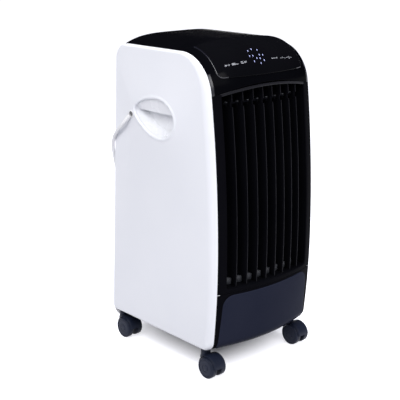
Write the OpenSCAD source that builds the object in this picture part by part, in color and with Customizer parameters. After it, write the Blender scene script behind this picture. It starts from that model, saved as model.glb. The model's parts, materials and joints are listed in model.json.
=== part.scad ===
// Portable evaporative cooler on casters: moulded cabinet, swinging louvres, blower, pad and tank.
// Millimetres. Origin on the floor under the middle of the cabinet, front towards -Y, +Z up.

/* [Cabinet] */
// Width over both side panels
body_w = 252; // [240:1:290]
// Depth from the fullest point of the front to the foot of the back
body_d = 317; // [310:1:350]
// Height of the side panels' top edge above the floor
side_top = 580; // [570:1:640]
// Height of the cabinet's underside above the floor
ground_gap = 52; // [50:1:60]
// Rise of the top cover in the middle of its width
crown = 15; // [8:1:20]
// Forward bow of the front in the middle of its width
front_bow = 18; // [10:1:22]
// Lean of the back towards the front, in degrees
back_lean = 3.3; // [1:0.1:4]
// Height of the front's fullest point above the underside
belly_h = 183; // [150:1:220]
// Radius of the front's curve above its fullest point
front_r_up = 2190; // [1800:10:4000]
// Radius of the front's curve below its fullest point
front_r_low = 1400; // [1000:10:4000]
// Radius of the corner between front and top
top_front_r = 75; // [66:1:84]
// Radius of the corner between top and back
top_rear_r = 30; // [20:1:40]
// Radius of the corner under the front
bottom_front_r = 22; // [14:1:28]
// Radius of the corner under the back
bottom_rear_r = 10; // [6:1:14]
// Wall thickness of the mouldings
wall = 2.5; // [2:0.1:3]
// Gap between mouldings that meet
seam = 0.3; // [0.2:0.05:0.4]
// Radial running clearance of pins in their holes
run_fit = 0.06; // [0.03:0.01:0.1]

/* [Side panels] */
// How far each side panel wraps round towards the front, across the cabinet
rim_w = 7.5; // [6:0.5:10]
// How far that wrap reaches back along the side
rim_depth = 20; // [12:1:26]
// Radius of the side panels' other edges
edge_r = 5; // [3:0.5:6]
// Distance of the handle pocket's round end before the back
grip_back = 129.8; // [127:0.2:150]
// Height of the handle pocket's round end above the floor
grip_z = 455; // [430:1:470]
// Radius of the handle pocket's round end
grip_r = 38; // [30:1:42]
// Distance from the round end to the pocket's tip radius
grip_l = 61; // [50:1:63]
// Radius of the pocket's tip
grip_tip_r = 8; // [5:1:10]
// Depth of the handle pocket
grip_depth = 24; // [20:1:30]
// Height of the finger lip's lower edge above the pocket's round end
grip_lip_h = 9.5; // [4:0.5:14]
// Depth of the finger lip's lower edge
grip_lip_depth = 9; // [6:1:11]

/* [Front] */
// Height of the lower front above the underside
lower_h = 112; // [100:1:125]
// Width of the frame strip beside the lower front panel's top
lower_side = 13; // [11:0.5:20]
// How much further out that panel reaches at its foot, on each side
lower_flare = 6; // [0:0.5:8]
// Height of the lower front panel's top edge above the underside
lower_panel_h = 108; // [90:1:108]
// Thickness of the lower front panel
lower_panel_t = 1.2; // [1:0.1:1.6]
// Corner radius of the lower front panel
lower_panel_r = 20; // [8:1:24]
// Width of the bezel beside the air outlet
bezel_side = 18; // [14:0.5:20]
// Height of the sill under the air outlet
sill_h = 8; // [6:1:14]
// Drop of the top cover's lip below the side panels' top edge, at the sides
hood_drop = 69; // [64:1:74]
// Rise of that lip in the middle
arch_rise = 11.5; // [4:0.5:16]
// Width of the bezel's lip under the top cover
bezel_lip = 5; // [3:0.5:8]
// Depth of the louvre box behind the front
box_depth = 78; // [76:1:84]

/* [Louvres] */
// Number of upright vanes
vane_count = 8; // [5:1:8]
// Distance of the outer vanes from the outlet's sides
vane_end = 22.45; // [21:0.05:26]
// Thickness of a vane
vane_t = 1.8; // [1.4:0.1:2.4]
// Distance of the vane pivots behind the bowed front
vane_setback = 30; // [29:0.5:32]
// Distance of the vane edges behind the bowed front
vane_inset = 4.5; // [4:0.5:7]
// Reach of a vane behind its pivot
vane_tail = 14; // [13:0.5:16]
// Radius of the bearing bosses under the vanes
boss_r = 7.5; // [6:0.5:8]
// Height of the bearing bosses under the vanes
boss_h = 12; // [8:1:16]
// Number of horizontal blades
blade_count = 8; // [5:1:8]
// Spacing of the horizontal blades
blade_pitch = 36; // [30:0.5:38]
// Chord of a horizontal blade
blade_chord = 26; // [24:1:28]
// Thickness of a horizontal blade at its middle
blade_t = 2.6; // [2:0.1:3.2]
// Distance of the blade pivots behind the front
blade_setback = 58; // [56:0.5:60]
// Radius of the louvre pivot pins
pivot_r = 2; // [1.5:0.1:2.4]
// Radius of the tie-bar pins
tie_r = 1.2; // [1:0.1:1.5]
// Width of the tie bars
tie_w = 5; // [4:0.5:5.5]
// Thickness of the tie bars
tie_t = 3; // [2:0.5:4]

/* [Control panel] */
// Width of the top cover beside the raised control panel
panel_side = 16; // [14:0.5:34]
// Height of its lower edge below the side panels' top edge
panel_drop = 40; // [32:1:46]
// Angle of its upper edge over the top corner, in degrees from upright
panel_back_a = 8; // [2:1:20]
// Thickness of the control panel
panel_t = 1.3; // [1:0.1:2]
// Corner radius of the control panel
panel_r = 9; // [4:1:14]
// Radius of an indicator lens
lens_r = 1.3; // [0.8:0.1:1.8]
// Spacing of the indicator lenses
lens_pitch = 7; // [5:0.5:8]
// Angle of the indicator lenses up the front corner, in degrees
lens_a = 42; // [34:1:60]

/* [Blower] */
// Gap between the louvre box and the scroll
scroll_front_gap = 11.1; // [8:0.1:14]
// Gap between the scroll and the cooling pad, at the height of the blower's axis
scroll_rear_gap = 16; // [12:0.5:20]
// Height of the blower's axis above the deck
fan_h = 121; // [110:1:135]
// Gap between the wheel and the scroll's sides
wheel_side = 9; // [7:0.5:14]
// Number of wheel blades
wheel_blades = 30; // [20:1:36]
// Radial depth of the wheel's blades
wheel_depth = 9; // [7:1:12]
// Gap between wheel and scroll at the tongue
scroll_gap = 5; // [4:0.5:8]
// Growth of the scroll's radius round the wheel
scroll_growth = 24; // [16:1:26]
// Room beside the scroll for the motor
motor_room = 50.2; // [48:0.2:54]
// Radius of the motor shaft
shaft_r = 4; // [3:0.5:5]
// Radius of the fan motor
motor_r = 32; // [26:1:36]
// Length of the fan motor
motor_l = 38; // [30:1:44]

/* [Wet side] */
// Thickness of the cooling pad
pad_t = 25; // [18:1:28]
// Thickness of the rear filter panel
filter_t = 10; // [9:0.5:12]
// Width of the rear frame beside its openings
rear_side = 21; // [19:0.5:28]
// Thickness of the rear frame
frame_t = 3; // [2:0.5:4]
// Depth of the flange round the filter opening
flange_d = 15; // [13:0.5:17]
// Radius of the filter panel's hinge pins
hinge_r = 3; // [2:0.5:4]
// Spacing of the filter panel's slats
slat_pitch = 20; // [14:1:26]
// Height of the water tank
tank_h = 94; // [80:1:100]
// Sliding clearance of the water tank
tank_fit = 0.5; // [0.3:0.1:0.8]
// Width of the tank's finger pocket
pull_w = 84; // [70:1:100]
// Height of the tank's finger pocket
pull_h = 24; // [20:1:30]
// Depth of the tank's finger pocket
pull_d = 16; // [12:1:20]
// Radius of the riser tube
riser_r = 5; // [4:0.5:6]
// Gap between the scroll and the riser tube
riser_gap = 3; // [2:0.5:5]
// Radius of the pump
pump_r = 15; // [12:1:16]
// Height of the pump
pump_h = 36; // [30:1:44]

/* [Casters] */
// Radius of a caster wheel
caster_r = 20; // [17:0.5:20.5]
// Width of a caster wheel
caster_w = 12; // [9:0.5:14]
// Distance of the wheel axle from the swivel axis
caster_trail = 17; // [12:0.5:20]
// Radius of the caster stem
stem_r = 5.5; // [4.5:0.5:6.5]
// Length of the caster stem in its socket
stem_l = 26; // [18:1:32]
// Distance of the swivel axes from the sides
caster_side = 16; // [15:0.5:18]
// Distance of the front swivel axes behind the front
caster_front = 40; // [38:1:50]
// Distance of the rear swivel axes from the foot of the back
caster_rear = 17; // [15:1:24]

/* [Cord] */
// Diameter of the mains cord
cord_d = 6.5; // [6:0.1:7]
// Length of the plug's pins
pin_l = 19; // [15:1:19]
// Radius of the plug's pins
pin_r = 2; // [1.9:0.05:2.4]
// Spacing of the plug's pins
pin_pitch = 18.6; // [17:0.1:19]

/* [Hidden] */
$fn = 48;
half_w = body_w / 2;
seam_x = half_w - rim_w;
front_y0 = front_bow - body_d / 2;
rear_y0 = body_d / 2;
belly_z = ground_gap + belly_h;
inner_x = seam_x - seam;

// Heights of the main levels
floor_top = ground_gap + frame_t;
split_z = ground_gap + lower_h;
open_z = split_z + sill_h;
deck_t = frame_t;
deck_top = open_z - wall - seam;
deck_bot = deck_top - deck_t;
arch_side = side_top - hood_drop;
box_top = arch_side + arch_rise + wall / 2;

// Front curve: distance back and upward tilt of its normal at a height
function front_y(z) = front_y0
    + (z > belly_z ? pow(z - belly_z, 2) / (2 * front_r_up) : pow(belly_z - z, 2) / (2 * front_r_low));
function front_a(z) = z > belly_z ? atan((z - belly_z) / front_r_up) : -atan((belly_z - z) / front_r_low);
function rear_y(z) = rear_y0 - (z - ground_gap) * tan(back_lean);
function bow(x) = front_bow * (1 - pow(x / seam_x, 2));
function arch_z(x) = arch_side + arch_rise * (1 - pow(x / seam_x, 2));

// Corner centres of the side outline, each tangent to the curve that runs into it
tf_z = side_top - top_front_r;
tf_a0 = front_a(tf_z);
tf_a = front_a(tf_z + top_front_r * sin(tf_a0));
tf_y = front_y(tf_z + top_front_r * sin(tf_a)) + top_front_r * cos(tf_a);
bf_z = ground_gap + bottom_front_r;
bf_a0 = -front_a(bf_z);
bf_a = -front_a(bf_z - bottom_front_r * sin(bf_a0));
bf_y = front_y(bf_z - bottom_front_r * sin(bf_a)) + bottom_front_r * cos(bf_a);
tr_z = side_top - top_rear_r;
tr_y = rear_y(tr_z) - top_rear_r / cos(back_lean);
br_z = ground_gap + bottom_rear_r;
br_y = rear_y(br_z) - bottom_rear_r / cos(back_lean);

// Stations of the side outline as [y, z, normal y, normal z]
function steps(a, b, n) = [for (i = [0:n]) a + (b - a) * i / n];
function arc_rows(y, z, r, a0, a1, n) =
    [for (a = steps(a0, a1, n)) [y + r * cos(a), z + r * sin(a), cos(a), sin(a)]];
function front_row(z) = [front_y(z), z, -cos(front_a(z)), sin(front_a(z))];
function front_rows(z0, z1, n) = [for (z = steps(z0, z1, n)) front_row(z)];
function top_rows(n) = [for (y = steps(tf_y, tr_y, n)) [y, side_top, 0, 1]];
function inner_steps(rows) = [for (i = [1:len(rows) - 2]) rows[i]];
front_foot_z = bf_z - bottom_front_r * sin(bf_a);
front_head_z = tf_z + top_front_r * sin(tf_a);
side_rows = concat(
    arc_rows(bf_y, bf_z, bottom_front_r, 270, 180 + bf_a, 5),
    inner_steps(front_rows(front_foot_z, front_head_z, 9)),
    arc_rows(tf_y, tf_z, top_front_r, 180 - tf_a, 90, 8),
    arc_rows(tr_y, tr_z, top_rear_r, 90, back_lean, 5),
    arc_rows(br_y, br_z, bottom_rear_r, back_lean, -90, 4));

// Bowed and crowned skin: a point on it at a width and a station, sunk by a depth
function bulge(x, p) = bow(x) * pow(max(0, -p[2]), 2)
    + crown * (1 - pow(x / seam_x, 4)) * pow(max(0, p[3]), 2);
function skin(x, p, depth) =
    let (out = bulge(x, p) - depth) [x, p[0] + out * p[2], p[1] + out * p[3]];

// Solid through a row of closed rings, capped at both ends
module loft(rings) {
    n = len(rings[0]);
    last = len(rings) - 1;
    walls = [for (k = [0:last - 1], i = [0:n - 1])
        let (j = (i + 1) % n, a = k * n + i, b = k * n + j)
        each [[b, a, a + n], [b, a + n, b + n]]];
    first_cap = [for (i = [0:n - 1]) i];
    last_cap = [for (i = [n - 1:-1:0]) last * n + i];
    polyhedron([for (ring = rings) each ring], concat([first_cap], walls, [last_cap]));
}

// Closed ring of solid through sections that follow each other round an opening
module hoop(sections) {
    n = len(sections[0]);
    m = len(sections);
    polyhedron([for (section = sections) each section], [for (k = [0:m - 1], i = [0:n - 1])
        let (j = (i + 1) % n, here = k * n, next = ((k + 1) % m) * n)
        each [[here + i, here + j, next + i], [here + j, next + j, next + i]]]);
}

// Shell of the skin between two depths, from rows given at each width
module skin_shell(hw, nx, rows_at, d_out, d_in) {
    loft([for (x = steps(hw, -hw, nx))
        let (rows = rows_at(x), n = len(rows))
        concat([for (p = rows) skin(x, p, d_out)], [for (i = [n - 1:-1:0]) skin(x, rows[i], d_in)])]);
}

module box(x0, x1, y0, y1, z0, z1) {
    translate([x0, y0, z0]) cube([x1 - x0, y1 - y0, z1 - z0]);
}

// Extrusions of an outline drawn in Y-Z along X, and of one drawn in X-Z along Y
module along_x(x0, x1) {
    translate([x0, 0, 0]) rotate([90, 0, 90]) linear_extrude(x1 - x0) children();
}

module along_y(y0, y1) {
    translate([0, y1, 0]) rotate([90, 0, 0]) linear_extrude(y1 - y0) children();
}

module rod_x(x0, x1, y, z, r) {
    translate([x0, y, z]) rotate([0, 90, 0]) cylinder(r = r, h = x1 - x0);
}

module rod_z(x, y, z0, z1, r) {
    translate([x, y, z0]) cylinder(r = r, h = z1 - z0);
}

module both_sides() {
    children();
    mirror([1, 0, 0]) children();
}

// Outline of a rectangle from its edges, with rounded corners
module rounded(x0, x1, z0, z1, r_low, r_high, flare = 0) {
    lean = atan(flare / (z1 - z0));
    // Distance of a corner's centre from the upright through the top end of its side
    function centre(z, r) = r / cos(lean) - flare * (z1 - z) / (z1 - z0);
    low = centre(z0 + r_low, r_low);
    high = centre(z1 - r_high, r_high);
    polygon(concat(
        [for (a = steps(180 - lean, 270, 6)) [x0 + low + r_low * cos(a), z0 + r_low + r_low * sin(a)]],
        [for (a = steps(270, 360 + lean, 6)) [x1 - low + r_low * cos(a), z0 + r_low + r_low * sin(a)]],
        [for (a = steps(lean, 90, 6)) [x1 - high + r_high * cos(a), z1 - r_high + r_high * sin(a)]],
        [for (a = steps(90, 180 - lean, 6)) [x0 + high + r_high * cos(a), z1 - r_high + r_high * sin(a)]]));
}

white = [0.90, 0.91, 0.94];
black = [0.06, 0.06, 0.07];
slate = [0.17, 0.18, 0.24];
grey = [0.45, 0.46, 0.48];
steel = [0.70, 0.71, 0.73];
copper = [0.62, 0.36, 0.18];

// Side panels and handle pockets, drawn for the right side

rim_r = (pow(rim_w, 2) + pow(rim_depth, 2)) / (2 * rim_w);
rim_a = asin(rim_depth / rim_r);
rim_steps = 4;
function rim_share(p) = pow(max(0, -p[2]), 2);
function rim_x(k, p) = let (w = rim_share(p),
    front = rim_r * (1 - cos(rim_a * k / rim_steps)),
    other = k < rim_steps ? edge_r * (1 - cos(90 * k / (rim_steps - 1))) : rim_w)
    half_w - w * front - (1 - w) * other;
function rim_in(k, p) = let (w = rim_share(p),
    front = rim_r * (sin(rim_a) - sin(rim_a * k / rim_steps)),
    other = k < rim_steps ? edge_r * (1 - sin(90 * k / (rim_steps - 1))) : 0)
    w * front + (1 - w) * other;
function inset(p, d, x) = [x, p[0] - d * p[2], p[1] - d * p[3]];

grip_cy = rear_y(grip_z) - grip_back;
grip_tilt = asin((grip_r - grip_tip_r) / grip_l);
function drop(grow) = concat(
    [for (a = steps(270 + grip_tilt, 90 - grip_tilt, 20))
        [grip_cy + (grip_r + grow) * cos(a), grip_z + (grip_r + grow) * sin(a)]],
    [for (a = steps(90 - grip_tilt, grip_tilt - 90, 8))
        [grip_cy + grip_l + (grip_tip_r + grow) * cos(a), grip_z + (grip_tip_r + grow) * sin(a)]]);
gland_z = grip_z - 1;
gland_back = 50;
gland_y = rear_y(gland_z) - gland_back;
gland_r = 5.5;

module side_panel() {
    rings = concat(
        [for (k = [0:rim_steps]) [for (p = side_rows) inset(p, rim_in(k, p), rim_x(k, p))]],
        [[for (p = side_rows) inset(p, wall, seam_x)]],
        [[for (p = side_rows) inset(p, rim_in(0, p) + seam, half_w - wall)]]);
    difference() {
        loft(rings);
        along_x(seam_x, half_w + wall) polygon(drop(0));
    }
}

cup_back = half_w - wall - seam;
cup_floor_share = 0.74;
cup_flange = 5;
module handle_cup() {
    function ring(x, grow, share) = [for (p = drop(grow))
        [x, grip_cy + grip_l / 3 + share * (p[0] - grip_cy - grip_l / 3), grip_z + share * (p[1] - grip_z)]];
    floor_x = half_w - grip_depth;
    loft([
        ring(floor_x, 0, cup_floor_share),
        ring(floor_x + grip_depth / 4, 0, (1 + cup_floor_share) / 2),
        ring(floor_x + grip_depth / 2, 0, 0.96),
        ring(cup_back, 0, 1),
        ring(cup_back, cup_flange, 1),
        ring(cup_back - wall, cup_flange, 1),
        ring(cup_back - wall, wall, 1),
        ring(floor_x + grip_depth / 2 - wall / 2, wall, 0.96),
        ring(floor_x + grip_depth / 4 - wall, wall, (1 + cup_floor_share) / 2),
        ring(floor_x - wall, wall, cup_floor_share)]);
    // Lip that the fingers hook behind, sloping in from the pocket's upper edge
    lip_x = half_w - grip_lip_depth;
    lip_z = grip_z + grip_lip_h;
    intersection() {
        along_x(floor_x, cup_back) polygon(drop(wall / 2));
        along_y(grip_cy - 2 * grip_r, grip_cy + grip_l + 2 * grip_r) polygon([
            [lip_x, lip_z], [cup_back, grip_z + grip_r], [cup_back, grip_z + 2 * grip_r],
            [cup_back - 2 * wall, grip_z + 2 * grip_r], [lip_x - wall, lip_z + wall / 2]]);
    }
}

module left_side_panel() {
    color(white) difference() {
        mirror([1, 0, 0]) side_panel();
        rod_x(-half_w - wall, -seam_x, gland_y, gland_z, gland_r);
    }
}

module right_side_panel() {
    color(white) side_panel();
}

module left_handle_cup() {
    color(white) mirror([1, 0, 0]) handle_cup();
}

module right_handle_cup() {
    color(white) handle_cup();
}

// Base with caster sockets, and the deck over the tank bay

rear_open_hw = seam_x - rear_side;
tank_hw = rear_open_hw - tank_fit;
bay_y0 = front_y0 + caster_front - caster_side / 2;
floor_y0 = bf_y + seam;
floor_y1 = rear_y(floor_top) - frame_t - 2 * seam;
caster_x = half_w - caster_side;
caster_ys = [front_y0 + caster_front, rear_y0 - caster_rear];
socket_r = stem_r + wall;

module base_chassis() {
    color(black) difference() {
        union() {
            box(-inner_x, inner_x, floor_y0, floor_y1, ground_gap, floor_top);
            both_sides() box(rear_open_hw, rear_open_hw + wall, bay_y0, deck_y1, ground_gap, deck_bot);
            box(-rear_open_hw - wall, rear_open_hw + wall, bay_y0, bay_y0 + wall, ground_gap, deck_bot);
            both_sides() for (y = caster_ys) {
                rod_z(caster_x, y, ground_gap, ground_gap + stem_l + 2 * wall, socket_r);
                box(rear_open_hw, caster_x, y - wall / 2, y + wall / 2, ground_gap, deck_bot - 2 * wall);
            }
        }
        both_sides() for (y = caster_ys)
            rod_z(caster_x, y, ground_gap - 1, ground_gap + stem_l + wall, stem_r + run_fit);
    }
}

deck_y1 = rear_y(deck_top) - frame_t - 2 * seam;
module mid_deck() {
    color(black) difference() {
        box(-inner_x, inner_x, bay_y0, deck_y1, deck_bot, deck_top);
        rod_z(-riser_x, riser_y, deck_bot - 1, deck_top + 1, riser_r + seam);
    }
}

// Front: bezel round the air outlet, lower frame and lower panel

outlet_hw = seam_x - bezel_side;
outlet_r = 2 * wall;
outlet_low = open_z + outlet_r;
outlet_in = outlet_hw - outlet_r;
// Pairs of a point on the outlet's edge and one on the bezel's outer edge, up the right side
bezel_right = concat(
    [for (a = [67.5, 45, 22.5]) [[outlet_in + outlet_r * cos(a), outlet_low - outlet_r * sin(a)],
        [a > 45 ? (outlet_in + inner_x) / 2 : inner_x, a < 45 ? (split_z + outlet_low) / 2 : split_z]]],
    [for (t = steps(0, 1, 9)) [[outlet_hw, outlet_low + t * (arch_z(outlet_hw) - bezel_lip - outlet_low)],
        [inner_x, outlet_low + t * (arch_z(inner_x) - seam - outlet_low)]]]);
bezel_pairs = concat(
    [for (x = steps(-outlet_in, outlet_in, 8)) [[x, open_z], [x, split_z]]],
    bezel_right,
    inner_steps([for (t = steps(1, -1, 12))
        [[t * outlet_hw, arch_z(t * outlet_hw) - bezel_lip], [t * inner_x, arch_z(t * inner_x) - seam]]]),
    [for (i = [len(bezel_right) - 1:-1:0]) [for (q = bezel_right[i]) [-q[0], q[1]]]]);

module front_bezel() {
    color(black) hoop([for (pair = bezel_pairs)
        let (edge = front_row(pair[0][1]), rim = front_row(pair[1][1]))
        [skin(pair[0][0], edge, 0), skin(pair[0][0], edge, wall),
            skin(pair[1][0], rim, wall), skin(pair[1][0], rim, 0)]]);
}

function lower_rows(z_top) = concat(
    arc_rows(bf_y, bf_z, bottom_front_r, 270, 180 + bf_a, 5),
    [for (i = [1:6]) front_rows(front_foot_z, z_top, 6)[i]]);
lower_z0 = ground_gap + 2 * wall;
lower_z1 = ground_gap + lower_panel_h;
module lower_front_frame() {
    color(black) skin_shell(inner_x, 12, function(x) lower_rows(split_z - seam), 0, wall);
}

// Plate on the face of the lower front
module lower_front_panel() {
    hw = seam_x - lower_side;
    color(slate) intersection() {
        skin_shell(inner_x, 12, function(x) lower_rows(split_z - seam), -lower_panel_t - seam, -seam);
        along_y(front_y0 - 2 * front_bow, bf_y)
            rounded(-hw, hw, lower_z0, lower_z1, wall * 2, lower_panel_r, lower_flare);
    }
}

// Top cover and control panel

function hood_a(z) = 180 - asin((z - tf_z) / top_front_r);
function cover_rows(x) = concat(
    arc_rows(tf_y, tf_z, top_front_r, hood_a(arch_z(x)), 90, 9),
    inner_steps(top_rows(4)),
    arc_rows(tr_y, tr_z, top_rear_r, 90, back_lean, 5));
board_w = 0.6 * body_w;
board_l = board_w / 2;
board_t = 0.6 * wall;
board_z = side_top - 3 * wall;
board_y = (tf_y + tr_y) / 2;
module top_cover() {
    color(black) skin_shell(inner_x, 16, function(x) cover_rows(x), 0, wall);
}

panel_a0 = hood_a(side_top - panel_drop);
panel_a1 = 90 + panel_back_a;
panel_hw = seam_x - panel_side;
// Frame of the lens cluster: origin on the skin, Y up along it, Z out of it
module lens_place() {
    p = arc_rows(tf_y, tf_z, top_front_r, 180 - lens_a, 90, 1)[0];
    translate(skin(0, p, 0)) rotate([90 - lens_a, 0, 0]) children();
}
lens_spots = concat(
    [for (i = [-1.5:1:1.5]) [i * lens_pitch, lens_pitch]],
    [for (i = [-2:1:2]) [i * lens_pitch, 0]],
    [for (i = [-1:1:1]) [i * lens_pitch, -lens_pitch]]);
module lenses(grow, low, high) {
    lens_place() for (s = lens_spots)
        translate([s[0], s[1], low]) cylinder(r = lens_r + grow, h = high - low);
}

module panel_shell(d_out) {
    skin_shell(panel_hw + panel_r, 12,
        function(x) arc_rows(tf_y, tf_z, top_front_r, panel_a0 + panel_back_a, panel_a1, 8), d_out, -seam);
}

lens_sink = top_front_r / 4;
module control_panel() {
    color(black) difference() {
        intersection() {
            panel_shell(-panel_t - seam);
            along_y(front_y0 - 2 * front_bow, tf_y) rounded(-panel_hw, panel_hw, side_top - panel_drop,
                side_top + 2 * crown, panel_r, panel_t);
        }
        lenses(seam / 3, -lens_sink, lens_sink);
    }
}

module display_leds() {
    color([0.80, 0.85, 1.0]) intersection() {
        lenses(0, -lens_sink, lens_sink);
        panel_shell(-panel_t - 2 * seam);
    }
}

// Board on four posts that meet the underside of the top cover
module control_board() {
    relay = board_w / 10;
    top = board_z - seam;
    low = top - board_t;
    post_r = 1.2 * wall;
    post_x = board_w / 2 - 2 * post_r;
    post_y = board_l / 2 - 2 * post_r;
    post_top = skin(post_x + post_r, [0, side_top, 0, 1], wall)[2] - seam;
    color([0.10, 0.35, 0.16]) translate([0, board_y, 0]) {
        box(-board_w / 2, board_w / 2, -board_l / 2, board_l / 2, low, top);
        both_sides() for (y = [-post_y, post_y])
            rod_z(post_x, y, low, post_top, post_r);
        for (x = [-2 * relay, 0, 2 * relay])
            box(x - relay / 2, x + relay / 2, -relay / 2, relay / 2, low - relay, low + board_t / 2);
        rod_z(board_w / 3, relay, low - 1.2 * relay, low + board_t / 2, relay / 3);
    }
}

// Louvre box, vanes, blades and their tie bars

box_back = front_y0 + box_depth;
box_y = wall + seam;
box_mid = (open_z + box_top) / 2;
vane_pitch = 2 * (outlet_hw - vane_end) / (vane_count - 1);
function vane_x(i) = (i - (vane_count + 1) / 2) * vane_pitch;
function vane_y(x) = front_y0 + vane_setback - bow(x);
blade_y = front_y0 + blade_setback;
function blade_z(i) = box_mid + (i - (blade_count + 1) / 2) * blade_pitch;
lead_vane = ceil(vane_count / 2);
fan_z = deck_top + fan_h;
tongue_a = 150;
function scroll_grown(a) = scroll_gap + scroll_growth * (a - tongue_a) / 300;
function scroll_r(a) = wheel_r + scroll_grown(a);
// The wheel takes what the gaps, the growth and the walls leave between louvre box and pad
pad_n1 = -filter_t - 3 * seam;
pad_n0 = pad_n1 - pad_t;
fan_room_y0 = box_back + scroll_front_gap + wall;
fan_room_y1 = rear_y(fan_z) + pad_n0 / cos(back_lean) - scroll_rear_gap - wall;
wheel_r = (fan_room_y1 - fan_room_y0 - scroll_grown(180) - scroll_grown(360)) / 2;
fan_y = fan_room_y0 + scroll_r(180);
scroll_top = fan_z + scroll_r(450);
tongue_z = fan_z + scroll_r(tongue_a) * sin(tongue_a);
scroll_hw = inner_x - motor_room;
wheel_w = 2 * (scroll_hw - wheel_side);

module louvre_box() {
    hw = outlet_hw;
    top = box_top + wall;
    low = open_z - wall;
    // Front edge of the box, further back under the top cover
    function box_front(x, z) = front_y(z) - bow(x) + box_y + (z > arch_side ? 2 * wall : 0);
    module shelf(z) {
        translate([0, 0, z]) linear_extrude(wall) polygon(concat(
            [for (x = steps(-hw - wall, hw + wall, 12)) [x, box_front(x, z + wall)]],
            [[hw + wall, box_back], [-hw - wall, box_back]]));
    }
    color(black) difference() {
        union() {
            both_sides() along_x(hw, hw + wall) polygon(concat(
                [for (z = steps(low, top, 10)) [box_front(hw + wall, z), z]],
                [[box_back, top], [box_back, low]]));
            shelf(low);
            shelf(box_top);
            for (i = [1:vane_count])
                rod_z(vane_x(i), vane_y(vane_x(i)), low, open_z + boss_h, boss_r);
            box(-hw - wall, hw + wall, box_back - wall, box_back, low, top);
        }
        box(-scroll_hw + wall, scroll_hw - wall, box_back - 2 * wall, box_back + wall, tongue_z, scroll_top);
        for (i = [1:vane_count])
            rod_z(vane_x(i), vane_y(vane_x(i)), low - wall, top + wall, pivot_r + run_fit);
        for (i = [1:blade_count])
            rod_x(-hw - 2 * wall, hw + 2 * wall, blade_y, blade_z(i), pivot_r + run_fit);
    }
}

tie_notch = 4.7;
vane_tie = 6;
vane_tie_z = box_top - 29;
blade_tie = 9;
blade_tie_side = 40.5;
blade_tie_x = outlet_hw - blade_tie_side;
end_gap = 1.2;
foot_gap = 4;
swing_l = 16;

module vane(i) {
    x = vane_x(i);
    y = vane_y(x);
    z0 = open_z + end_gap;
    z1 = box_top - end_gap;
    foot_z = open_z + boss_h + end_gap;
    pin_low = open_z - wall + seam - (i == lead_vane ? swing_l / 2 : 0);
    color(black) {
        difference() {
            along_x(x - vane_t / 2, x + vane_t / 2) polygon(concat(
                [for (z = steps(z0, z1, 12)) [front_y(z) - bow(x) + vane_inset, z]],
                [[y + vane_tail, z1], [y + vane_tail, z0]]));
            box(x - vane_t, x + vane_t, y + vane_tie - tie_notch, y + vane_tail + 1,
                vane_tie_z - tie_notch, vane_tie_z + tie_notch);
            box(x - vane_t, x + vane_t, y - boss_r - foot_gap, y + vane_tail + 1, z0 - 1, foot_z);
        }
        rod_z(x, y, pin_low, foot_z + 2 * tie_notch, pivot_r);
        rod_z(x, y, z1 - tie_notch, box_top + wall - seam, pivot_r);
        rod_z(x, y + vane_tie, vane_tie_z - tie_notch - 1, vane_tie_z + tie_notch + 1, tie_r);
    }
}

module vane_link() {
    end = vane_x(vane_count) + tie_w;
    color(black) difference() {
        translate([0, 0, vane_tie_z - tie_t / 2]) linear_extrude(tie_t) polygon(concat(
            [for (x = steps(-end, end, 16)) [x, vane_y(x) + vane_tie - tie_w / 2]],
            [for (x = steps(end, -end, 16)) [x, vane_y(x) + vane_tie + tie_w / 2]]));
        for (i = [1:vane_count])
            let (x = vane_x(i))
                rod_z(x, vane_y(x) + vane_tie, vane_tie_z - tie_t, vane_tie_z + tie_t, tie_r + run_fit);
    }
}

module blade(i) {
    z = blade_z(i);
    hw = outlet_hw - end_gap;
    function skin_t(s) = 0.3 * blade_t + 0.7 * blade_t * (1 - s * s);
    color(black) {
        difference() {
            along_x(-hw, hw) polygon(concat(
                [for (s = steps(-1, 1, 8)) [blade_y + s * blade_chord / 2, z + skin_t(s) / 2]],
                [for (s = steps(1, -1, 8)) [blade_y + s * blade_chord / 2, z - skin_t(s) / 2]]));
            box(blade_tie_x - tie_notch, blade_tie_x + tie_notch, blade_y + blade_tie - tie_notch,
                blade_y + blade_chord, z - blade_t, z + blade_t);
        }
        both_sides() rod_x(hw - 2 * tie_notch, outlet_hw + wall - seam, blade_y, z, pivot_r);
        rod_x(blade_tie_x - tie_notch - 1, blade_tie_x + tie_notch + 1, blade_y + blade_tie, z, tie_r);
    }
}

module blade_link() {
    y = blade_y + blade_tie;
    color(black) difference() {
        box(blade_tie_x - tie_t / 2, blade_tie_x + tie_t / 2, y - tie_w / 2, y + tie_w / 2,
            blade_z(1) - tie_w, blade_z(blade_count) + tie_w);
        for (i = [1:blade_count])
            rod_x(blade_tie_x - tie_t, blade_tie_x + tie_t, y, blade_z(i), tie_r + run_fit);
    }
}

module swing_motor() {
    x = vane_x(lead_vane);
    y = vane_y(x);
    top = open_z - wall - seam;
    case_r = 14;
    ear = 3;
    ear_hw = 20;
    color(steel) difference() {
        union() {
            rod_z(x, y, top - swing_l, top, case_r);
            box(x - ear_hw, x + ear_hw, y - ear, y + ear, top - ear, top);
        }
        rod_z(x, y, top - swing_l / 2 - ear, top + 1, pivot_r + run_fit);
    }
}

// Blower: scroll halves, wheel on its shaft, motor and bracket

inlet_r = wheel_r - wheel_depth + 2;
scroll_front = box_back + seam;
function scroll_outline(grow) = concat(
    [for (a = steps(tongue_a, 450, 40))
        [fan_y + (scroll_r(a) + grow) * cos(a), fan_z + (scroll_r(a) + grow) * sin(a)]],
    [[scroll_front, scroll_top + grow], [scroll_front, tongue_z - grow]]);

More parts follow.
